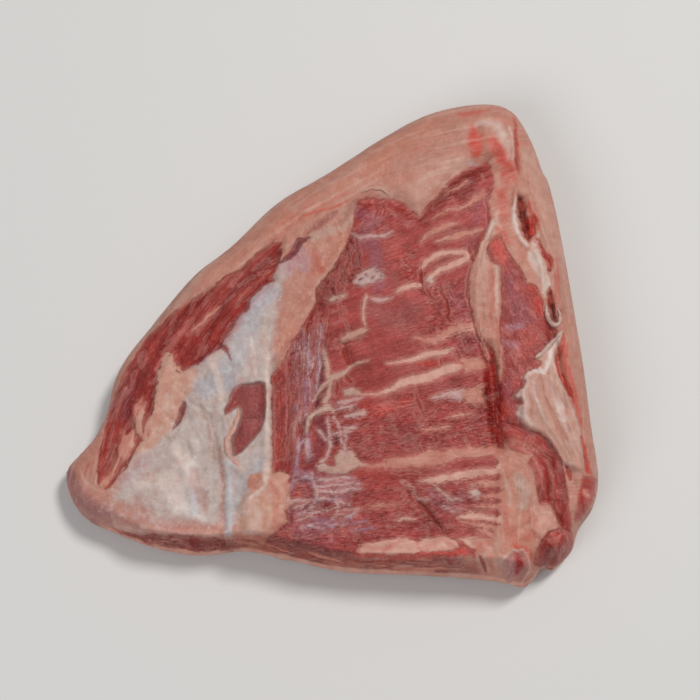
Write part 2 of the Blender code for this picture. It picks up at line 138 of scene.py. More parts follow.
CENTRE_MUSCLE = (
    (10, 49), (11, 58), (13.5, 66.5), (17.5, 68.5), (24, 68.5), (33, 67.5), (39, 64), (46, 58), (49.5, 62.5),
    (55, 68), (60.5, 76), (68.5, 83), (77, 88), (83, 90.5), (85, 88), (85.5, 79.5), (85.5, 73.5), (83, 66),
    (83.5, 57.5), (82.5, 53.5), (80, 48), (77.5, 39), (75, 34), (72.5, 29.5), (71.5, 22), (71.5, 9.5), (73, 2.5),
    (74, -5), (77.5, -11.5), (79.5, -17.5), (81, -23.5), (85, -23), (86, -40), (84, -62), (84, -67), (82.6, -70),
    (85.6, -73.4), (82.4, -78), (86.2, -81.4), (82.6, -84.4), (86.6, -87.6), (82.8, -90.6), (86.4, -93.6),
    (83, -96), (86.2, -99.4), (82.6, -102), (85.8, -104.8), (82.4, -107.4), (83.4, -110.5), (80, -117), (74, -121),
    (62, -122), (30, -122), (0, -120), (-20, -116.5), (-34, -113.5), (-32, -110.6), (-27.5, -109), (-25.6, -105.6),
    (-22, -103), (-23.4, -98.6), (-19.6, -94.6), (-21.4, -90), (-18.6, -86.4), (-22.4, -83.6), (-21, -80),
    (-25.4, -78), (-30, -79.6), (-31, -28), (-30, -26.5), (-26.5, -22.5), (-23.5, -18), (-20.5, -9.5), (-17, -5),
    (-14, 2), (-10, 7), (-8, 11), (-8.5, 17.5), (-6.5, 21), (-2, 26.5), (3, 33.5), (6.5, 41.5),
)
RIGHT_MUSCLE = (
    (88.5, 46), (83, 42), (80.5, 37), (82.5, 31), (86, 30), (88, 28.5), (88, 14.5), (88, 4.5), (86, -5), (87, -8),
    (86.5, -13.5), (85, -22), (84, -34.5), (84, -50), (86, -58), (88.5, -62.5), (92, -67), (97, -69), (102, -70),
    (99.5, -73.5), (103.5, -80.5), (105, -92), (106.5, -95.5), (111, -94), (114, -102), (117, -108), (121, -110),
    (122, -106), (120, -89), (118.5, -79), (115, -68), (112, -60), (106.5, -58), (104, -55), (101, -55), (99, -52),
    (98, -47.5), (99, -43.5), (98, -39.5), (102, -31.5), (104, -27), (108, -24), (109, -17), (113, -12), (117, -4),
    (113, 0), (110, 5), (109.5, 12), (106, 19), (102, 20.5), (98, 29), (94, 34.5), (90.5, 40),
)
CUT_STRIP = (
    (-113.5, -103.5), (-98.5, -107.5), (-86.5, -108.5), (-76.5, -109), (-70, -109.5), (-59.5, -110.5), (-50, -112),
    (-42, -112.5), (-45, -113.6), (-68, -115.6), (-92, -112), (-110, -105.6),
)
SLIVER = (
    (10, 49), (6.5, 41.5), (3, 33.5), (-2, 26.5), (-6.5, 21), (-8.5, 17.5), (-8, 11), (-5, 8), (2, 10), (7, 14),
    (10, 20), (12, 25.5), (15.5, 28.5), (14, 37), (13, 46),
)
LOBE = (
    (103, -117.5), (108, -109.5), (115, -106.5), (123, -107.5), (125, -115), (114, -124), (108.5, -123),
    (102.5, -123.5),
)
SKIN = (
    (-22, 34), (-30, 24), (-42, 15), (-57, -14), (-78, -25), (-92, -45), (-104, -70), (-114, -86), (-122, -98),
    (-98, -108), (-50, -112), (-34, -90), (-31, -30), (-27, -8), (-24, 18),
)

# Broad forms that stand proud or lie low: height, softness of their edge, outline.
FORMS = (
    # trough, tongue, window and slit
    (-3.2, 3.0, ((-26, 48), (-30, 24), (-41, 15), (-50, 0), (-58, -12), (-68, -20), (-79, -25), (-84, -14),
        (-89, -24), (-94, -44), (-104, -40), (-110, -30), (-97, -15), (-80, 5), (-52, 26), (-38, 40))),
    (-2.2, 2.5, ((-119, -50), (-105, -45), (-98, -60), (-106, -72), (-115, -84), (-121, -75))),
    (-1.7, 0.9, ((-55, -47), (-45, -33), (-35, -32), (-34, -52), (-41, -63), (-50, -70), (-51, -57))),
    (-1.6, 1.2, ((-77, -40), (-75, -43), (-78, -51), (-82, -55), (-80, -49))),
    # strip beside the silverskin, lump and vein pits
    (-1.3, 2.6, ((-30, -22), (-21, -24), (-20, -78), (-31, -80))),
    (3.0, 3.0, ((-43, -81), (-30, -79), (-22, -88), (-22, -104), (-34, -111), (-45, -110))),
    (-2.0, 2.0, ((-18, -82), (-8, -82), (-9, -92), (-17, -92))),
    (-2.0, 2.0, ((-9, -93), (0, -92), (-1, -103), (-8, -103))),
    # seams and flaps on the right
    (1.2, 1.8, ((84, 56), (76, 40), (71, 22), (72, 5), (78, -20), (84, -22), (87, -8), (88, 18), (86, 29),
        (80, 33), (80, 41), (86, 52))),
    (0.9, 3.0, ((80, 36), (76, 26), (75, 10), (78, -6), (83, -4), (84, 12), (82, 28))),
    (1.6, 1.3, ((107, -27), (97, -35), (97, -54), (108, -59), (117, -74), (128, -78), (126, -55), (116, -32))),
    (1.3, 3.0, ((85, -68), (99, -76), (106, -95), (114, -99), (108, -110), (101, -119), (82, -118))),
    (-1.8, 2.0, ((88, -50), (112, -65), (119, -88), (117, -108), (111, -92), (108, -78), (98, -68), (86, -64))),
    (2.6, 3.0, ((103, -108), (113, -104), (120, -110), (117, -119), (108, -119))),
    (2.2, 2.4, ((79, 110), (82, 94), (88, 84), (97, 84), (96, 100), (90, 110))),
)

# Ridges and grooves: height, half width, path.
LINES = (
    # groove, crevices and lips on the right
    (-5.0, 3.5, ((80.6, -15), (81.8, -22), (82.4, -31), (83.2, -40), (84.2, -54), (87, -64))),
    (-2.8, 1.7, ((99.4, 68), (100, 61), (102, 54), (103, 47))),
    (-1.2, 1.2, ((106, 44), (109.6, 39), (113, 32), (113.4, 26))),
    (-2.2, 1.3, ((114, 15), (114.4, 9), (115, 3))),
    (1.6, 1.6, ((104.4, 68), (106, 60), (110, 52), (111.6, 46), (115, 38), (117.6, 30), (118, 18), (119.6, 8))),
    (-1.1, 1.5, ((97.4, 108), (98.6, 98), (98.6, 86))),
    (1.4, 1.3, ((97.2, 72), (95.8, 62), (95.8, 55), (97.6, 48), (100.4, 42), (106, 38), (109, 30), (110, 20))),
    (-3.0, 2.0, ((113, 0), (116, -14), (119, -32), (122, -44))),
    # valleys and steps round the middle
    (-3.6, 4.0, ((6, 52), (17, 66), (34, 66), (46, 57), (52, 64), (66, 82), (78, 88), (94, 92))),
    (-2.4, 4.0, ((8, 46), (0, 28), (-9, 12), (-16, -4), (-24, -20), (-30, -27))),
    (1.2, 2.0, ((-55, -50), (-53, -60), (-52, -72), (-45, -79))),
    (1.4, 2.2, ((-33, -22), (-33, -60), (-35, -84), (-45, -95))),
    (1.6, 5.0, ((-112, -22), (-96, -4), (-72, 20), (-42, 46), (-12, 68), (26, 92))),
    (-2.6, 2.6, ((6, -13), (9, -21))),
    (-2.2, 1.8, ((41, -90), (50, -100), (57, -110))),
    # silverskin
    (-1.0, 0.9, ((-69, -43), (-63.5, -48), (-60, -54), (-59.5, -62), (-60, -70), (-56.6, -75), (-55, -82),
        (-54.8, -92), (-54.5, -107))),
    (0.8, 1.5, ((-56, -60), (-55, -70), (-52.3, -76), (-51.5, -84), (-51.3, -94), (-51.3, -107))),
    (-0.8, 0.9, ((-79, -55), (-75.4, -59), (-73.6, -64), (-72, -69))),
    (-0.6, 0.9, ((-74, -48), (-72, -54.7), (-69.9, -58.3), (-67, -64))),
    (0.8, 1.6, ((-77, -57), (-72.5, -63), (-70, -70))),
    (1.0, 1.8, ((-74, -82), (-71.5, -91), (-70.5, -99))),
    (-0.6, 0.8, ((-92, -91), (-86, -94), (-81, -94.5))),
    (-0.6, 0.8, ((-95, -94), (-88, -97.5), (-83, -98))),
    (-0.5, 0.9, ((-101, -88), (-97, -95), (-90, -100), (-80, -103))),
    (0.7, 2.0, ((-66, -16), (-60, -28), (-58, -42), (-61, -52))),
    (-0.6, 1.0, ((-43, -2), (-41, -9), (-38.5, -18), (-38, -28))),
    (-0.7, 0.8, ((-91, -41), (-84.6, -48.3), (-79, -52.5))),
    (-0.6, 0.8, ((-83, -31), (-76, -37), (-70, -44))),
    (-0.7, 0.8, ((-95, -38), (-94.5, -48), (-95, -58))),
    # front of the silverskin
    (0.8, 1.5, ((-104, -104.5), (-98, -106), (-76, -107.3), (-58, -108.3), (-44, -110.6), (-35, -110))),
    (-1.8, 1.2, ((-108, -105.6), (-98, -109.2), (-86, -110.2), (-76, -110.7), (-60, -111.7), (-50, -113),
        (-42, -113.9))),
    # upper band
    (-0.7, 0.9, ((28, 100), (36, 103), (44, 103), (50, 100))),
    (-0.6, 0.8, ((36, 108), (42, 106), (50, 107))),
    (0.8, 1.3, ((24, 96), (34, 99.5), (44, 99.5))),
    (-0.5, 0.9, ((-50, 44), (-34, 57), (-14, 72), (8, 86))),
    (-0.5, 0.9, ((20, 84), (32, 92), (44, 94), (58, 96))),
    # flap and seams
    (1.1, 1.2, ((103, -32), (104, -42), (108, -52), (115, -62), (121, -72))),
    (-1.1, 1.0, ((106, -30), (108, -41), (113, -51), (119, -62), (123, -73))),
    (1.0, 1.1, ((112, -22), (112.5, -32), (117, -43), (121, -54), (124, -66))),
    (-0.7, 0.9, ((99.5, -38), (101, -46), (101, -53))),
    (0.8, 1.0, ((97.5, -37), (98, -46), (99.5, -53))),
    (0.9, 1.1, ((115, -14), (115, -28), (118.5, -36), (122, -44), (125, -56), (126, -68))),
    (-0.6, 0.9, ((80, 44), (77, 30), (77, 12), (79, -6))),
    (-0.6, 0.9, ((84, 26), (83, 12), (84, -4), (85, -18))),
    (0.7, 1.3, ((83, 50), (79, 34), (74.5, 20), (75, 2), (78, -10))),
    (-0.7, 1.0, ((92, -76), (99, -78), (101, -86), (101, -96), (96, -100))),
    (-0.8, 1.0, ((88, -112), (94, -108), (100, -104), (104, -98))),
    (-0.9, 0.9, ((104, -112), (101, -108), (103, -101))),
    (-0.8, 1.0, ((122, -76), (124, -86), (123, -96), (124, -104))),
    # upper band, tip and rim
    (-0.6, 0.9, ((-18, 58), (-9, 60.5), (4, 64))),
    (0.7, 1.0, ((-17, 61), (-2, 67.5), (13, 75.5))),
    (-0.8, 1.0, ((-130, -96), (-122, -99), (-114, -103))),
    (-1.2, 1.0, ((107, 86), (108, 83.5), (110, 81.5))),
    (-0.7, 0.9, ((102, 76.5), (108, 74.5))),
    # middle and tongue
    (-1.0, 0.8, ((46, 26), (46, 17), (50, 13.5), (54.5, 11.5), (59, 9), (60, -0.5))),
    (-0.6, 0.8, ((41, -46), (46, -52))),
    (-1.6, 0.9, ((107, -68), (112.5, -72), (111, -82), (112, -94), (116, -102), (116, -109))),
)

# Long waves over the whole top: height, length, heading, phase.
WAVES = ((0.9, 71.0, 20.0, 0.4), (0.7, 47.0, 105.0, 1.9), (0.45, 29.0, 160.0, 3.1), (0.35, 19.0, 62.0, 5.0))

# How fibres run: round a point or fanning out from it, that point, depth, width and length of a bundle, where.
# Later rows lie over earlier ones.
FLOWS = (
    # everywhere, then the upper band and the right rim
    ("fan", -408, -149, 0.20, 1.8, 20, None),
    ("round", 125, -146, 0.10, 3.5, 40, ((-150, -90), (-119, -84), (-97, -4), (-24, 48), (12, 66), (46, 60),
        (86, 92), (120, 140), (-150, 140))),
    ("round", -900, 0, 0.10, 3.0, 30, ((96, 98), (100, 60), (114, 20), (118, -20), (128, -80), (150, -80),
        (150, 100))),
    # left side
    ("round", -640, -190, 0.16, 4.0, 34, SKIN),
    ("round", 125, -146, 0.42, 2.0, 24, TROUGH),
    ("round", -900, -50, 0.06, 1.1, 7, WINDOW),
    ("round", -900, 60, 0.34, 1.6, 15, ((-31, -26), (-20, -9), (-14, 2), (-8, 8), (0, 8), (-4, -20), (-8, -50),
        (-20, -80), (-31, -81))),
    # middle and right
    ("round", 906, 453, 0.55, 1.7, 4.5, SLIVER),
    ("round", 788, 400, 0.22, 2.2, 11, RIGHT_MUSCLE),
    ("round", 80, -92, 0.22, 2.6, 22, ((86, -52), (104, -56), (116, -68), (123, -106), (117, -109), (106, -96),
        (99, -73), (88, -64))),
    ("round", 90, -132, 0.40, 2.4, 16, LOBE),
    ("round", -900, 0, 0.10, 2.4, 16, ((84, 56), (76, 40), (71, 22), (71, 5), (78, -20), (84, -22), (86.5, -8),
        (88, 18), (86, 29), (80, 33), (80, 41), (86, 52))),
    ("fan", -54, 432, 0.14, 2.2, 16, ((119, -5), (112, -12), (109, -22), (99, -28), (95, -40), (97, -54),
        (110, -62), (118, -74), (127, -78), (127, -60), (117, -34), (114, -21))),
    ("round", -900, -60, 0.10, 3.2, 9, ((84.5, -68), (99, -75), (104, -86), (106, -95), (113, -99), (109, -109),
        (102, -117), (100, -131), (84, -131), (82, -112), (84.5, -95))),
    # strip beside the sliver, lump and front
    ("round", -900, 30, 0.08, 2.4, 3.2, ((11, 47), (12, 66), (4, 62), (-12, 54), (-24, 47), (-27, 33), (-24, 18),
        (-27, -8), (-31, -26), (-25, -20), (-17, -5), (-8, 10), (-8, 18), (-2, 26), (6.5, 41))),
    ("round", -900, -95, 0.08, 3.4, 5, ((-46, -88), (-42, -79), (-21, -79), (-20, -104), (-34, -113), (-50, -112))),
    ("fan", -408, -149, 0.10, 2.2, 8, ((10, -130), (12, -117), (40, -113), (84, -112), (84, -131))),
    ("fan", -408, -149, 0.30, 1.3, 2.2, CUT_STRIP),
)

# Ribs of fat in the middle, from the top down: colour, outline or stroke with half widths.
RIBS = (
    ("rib", ((52, 55, 0.3), (56.3, 57, 0.6), (60, 59.3, 0.7), (66, 60, 0.6), (71, 62.6, 0.8), (74, 66, 1.4),
        (78, 68.5, 1.7), (80, 70.5, 0.8))),
    ("rib", ((60, 70, 0.3), (66, 73, 0.8), (71, 77, 0.5))),
    ("rib", ((46.5, 42.5, 0.3), (50, 45.7, 1.1), (54, 48.6, 1.5), (59, 50.6, 1.6), (64, 52.2, 1.2),
        (67.5, 52.7, 0.3))),
    ("rib", ((54, 42.3, 0.3), (60, 44.2, 1.2), (66, 45.8, 1.6), (71, 47.5, 1.6), (77.5, 49.3, 1.0))),
    ("rib_pale", ((46.6, 27.5, 0.8), (48.5, 31, 1.5), (52, 33.5, 1.5), (57, 35.3, 1.2), (63, 36.3, 1.1),
        (68, 36.7, 1.2), (71.8, 35.2, 1.2))),
    ("rib_pale", ((50, 20.5, 1.2), (52, 23, 1.3), (56, 26.6, 1.5), (60.5, 28.6, 1.6), (65, 30.5, 1.6),
        (69.5, 33, 1.7), (72, 35, 1.0))),
    ("chalk", ((50.4, 20.4, 1.7), (50.6, 20, 1.6))),
    ("rib_pale", ((33, 13.8, 0.3), (36.5, 16.2, 1.2), (40, 17.6, 1.5), (44.8, 18, 0.8))),
    ("web", ((20, 10.8, 0.5), (24.5, 10, 1.2), (30, 10.2, 0.4))),
    ("rib", ((43, -9.5, 0.6), (47, -11, 1.4), (52, -10.6, 1.6), (57, -8.8, 1.6), (61.5, -5.8, 1.8),
        (67, -4.2, 2.2), (75, -3.6, 2.9))),
    ("rib_pale", ((29, -23.6, 0.3), (34, -22.8, 0.7), (41, -21.4, 1.1), (47, -19.4, 1.5), (53, -18.3, 1.6),
        (58, -17.2, 1.3), (62, -15.6, 0.4))),
    ("rib_pale", ((15, -39.4, 0.6), (21, -40, 0.6), (27.4, -38.6, 0.9), (32, -36.2, 1.4), (37, -34.4, 2.0),
        (43, -32.3, 2.4), (50, -30.6, 2.5), (56, -28, 2.8), (61, -26.3, 2.4), (65.5, -25.5, 1.2))),
    ("rib", ((66, -21.5), (75.5, -19.5), (79.5, -25), (68, -28.5))),
    ("web", ((51, -42, 0.3), (55.5, -40.3, 1.1), (60, -39.8, 1.7), (66, -39.4, 2.4), (72, -39.4, 3.2))),
    ("rib", ((68.5, -37.5), (73, -35.5), (77, -35.5), (77.5, -44), (68.5, -44.5))),
    ("rib", ((15, -75.4, 0.9), (21, -75.8, 0.9), (27, -75.8, 1.1), (31, -74.6, 2.7), (37, -74.8, 2.7),
        (44, -74, 3.0), (51, -71.2, 3.8), (57, -71.4, 2.9), (63, -69.4, 2.4), (71, -69, 2.3), (84, -67.5, 2.3))),
    ("rib_pale", ((44.5, -84.2, 0.4), (50, -83.8, 1.4), (57, -82.1, 1.8), (64, -80.8, 1.8), (72, -79.6, 1.6),
        (85, -78, 1.7))),
    ("rib", ((70, -84.6, 0.6), (76, -84.3, 1.3), (84, -84.5, 1.6))),
    ("rib", ((74, -92, 0.4), (79, -91, 1.0), (84, -90, 1.4))),
    ("rib", ((73, -96, 0.3), (79, -95.5, 0.9), (84, -96, 1.2))),
    ("rib_pale", ((65, -102.3, 0.5), (70, -100.8, 2.0), (78, -101.5, 1.8), (84, -102.5, 1.8))),
    ("rib", ((66, -104, 0.4), (74, -105, 1.1), (83, -107, 1.5))),
    ("rib", ((73, -107.5, 0.4), (78, -109, 1.0), (83, -111, 1.3))),
    ("rib", ((18.7, -96.3, 0.5), (26, -96, 0.7), (32.4, -96.3, 0.4))),
    ("rib", ((46, -57.6, 0.3), (50, -57.6, 0.7), (56, -56.4, 0.9), (60, -55.6, 0.4))),
    ("rib", ((60, -51, 0.3), (66, -50, 0.7), (72, -49.4, 0.4))),
)

# Tears and creases: depth, half width in the middle, paths.
CRACKS = (
    (1.6, 1.0, (((46.6, 28), (46.2, 23), (46.9, 17.5)),)),
    (1.2, 0.7, (((48.8, 18.6), (51.1, 14), (53, 11.6), (56.6, 12)),)),
    (1.6, 0.9, (((55.6, 17.5), (58.8, 10.7), (59.7, 6.7), (60.7, 0.3), (63, -2)),)),
    (0.8, 0.5, (((60.5, 18.4), (62, 12)), ((36, 33), (40, 35.2), (43.5, 34)), ((13.3, 44), (14.6, 38), (14, 32),
        (15.6, 27.6)), ((25.6, -56.4), (28, -58.2), (33, -58.6)), ((29, -45), (37, -44.8), (43, -43)),
        ((-30.4, -28), (-29.9, -54), (-29.5, -79)), ((0, 22), (-2.4, 16), (-4, 13)), ((-19, -18), (-20.6, -34),
        (-19.4, -50)), ((-15.6, -10), (-16.4, -26), (-15.6, -44)))),
    (1.0, 0.7, (((36.5, 30.5), (38.4, 29), (40.4, 26.8)), ((42.8, -36.6), (43.6, -41.6), (45.2, -46),
        (47.4, -52.4)), ((64, -14), (66, -20), (65, -23)))),
    (1.4, 1.0, (((71.4, 41), (72.4, 36), (73.4, 31)),)),
    (0.9, 0.5, (((66.5, -8.5), (68, -12.5), (69.4, -17)), ((43.6, -65.6), (46.6, -69.4)))),
    (0.6, 0.4, (((4, 10), (4.6, 4), (5.4, -1)), ((6.8, -1), (8, -4), (9, -6.4)))),
    (1.2, 0.6, (((5, -12.9), (10, -12.3), (15.5, -11.4)),)),
    (2.2, 1.4, (((6.8, -13.4), (7.6, -18), (8.8, -23.6)),)),
    (1.8, 1.2, (((6.6, -28), (8.4, -30.6), (11, -33.4)),)),
    (1.2, 0.9, (((2.6, -31.5), (3.4, -36), (2.2, -40.5)),)),
    (0.9, 0.6, (((42.4, -47.5), (44.2, -51.8)), ((55.6, -20.4), (57, -24.4)), ((27.5, -72.6), (27.3, -77.4)),
        ((30, -79), (37, -79.6), (44, -79.4)), ((21.6, 66.5), (23.6, 61), (22.6, 55.5)), ((81.6, 69), (82, 58),
        (80.6, 50.4)), ((72, 29), (70.6, 20), (70.6, 12), (73, 2), (74.2, -6), (77.8, -13.4), (80.4, -20)),
        ((12.6, 38), (10.6, 33), (12, 28)), ((8.6, 37), (8.8, 32), (6.6, 27)), ((4, 29), (5, 23), (3, 17),
        (5.4, 13)), ((-22.6, -30), (-22, -50), (-22.6, -70)))),
    (0.6, 0.5, (((26.6, -65), (25.2, -67.6)),)),
    (0.8, 0.6, (((58, -73.6), (54, -75.8), (49, -76.6)), ((44, -85.5), (48, -86.8), (53, -86.4)))),
    (1.2, 0.8, (((64, 66), (57.5, 65), (53.5, 61.6)),)),
    (0.7, 0.5, (((26.6, 66), (27.4, 60), (26.8, 54)), ((35, -84), (40, -87), (43, -91)), ((-9.6, -8), (-8.8, -24),
        (-8.4, -40)))),
    (1.4, 0.9, (((41, -90), (46, -95), (51, -101), (57, -110)),)),
    (1.0, 0.8, (((56.5, -121.5), (60, -122.8), (64, -122.2)),)),
    (1.1, 0.9, (((73, -119.5), (77, -123.5), (79.5, -128)),)),
)

# Where small splits open: how many, length, half width, share that runs across the fibres, where.
SPLITS = (
    (46, 4.5, 0.5, 0.2, ((-2, -42), (30, -44), (60, -36), (84, -34), (84, -66), (60, -66), (30, -71), (14, -72),
        (0, -66))),
    (30, 3.0, 0.4, 0.6, ((48, 20), (60, 22), (70, 18), (69, 8), (73, -4), (78, -18), (64, -22), (50, -8))),
    (30, 3.2, 0.5, 0.1, SLIVER),
    (22, 4.0, 0.45, 0.3, ((12, 66), (30, 68), (48, 58), (60, 76), (82, 90), (84, 62), (60, 56), (30, 50),
        (14, 40))),
    (50, 3.6, 0.45, 0.25, ((-22, -82), (14, -82), (14, -112), (-22, -112))),
    (40, 4.2, 0.45, 0.25, ((30, -84), (84, -84), (84, -112), (30, -112))),
    (34, 4.0, 0.45, 0.2, RIGHT_MUSCLE),
    (50, 8.0, 0.5, 0.0, TROUGH),
    (36, 6.0, 0.45, 0.05, ((-24, -16), (-14, 2), (-6, 8), (-2, -20), (-4, -44), (-12, -50), (-16, -80),
        (-24, -80))),
    (10, 3.0, 0.5, 0.3, LOBE),
    (26, 2.4, 0.45, 0.2, CUT_STRIP),
    (16, 3.0, 0.45, 0.5, ((-4, 12), (8, 14), (12, -2), (4, -22), (-8, -14))),
)

PAD_HOLES = (
    ((14.6, 20.6, 0.3), (15.8, 21.2, 0.4)), ((17.6, 23.6, 0.4), (18.4, 22.8, 0.3)),
    ((20.6, 21.6, 0.3), (21.6, 22.6, 0.4)), ((22.6, 25.8, 0.4), (23.6, 25.4, 0.3)),
    ((25, 22.6, 0.3), (25.8, 23.6, 0.4)),
)

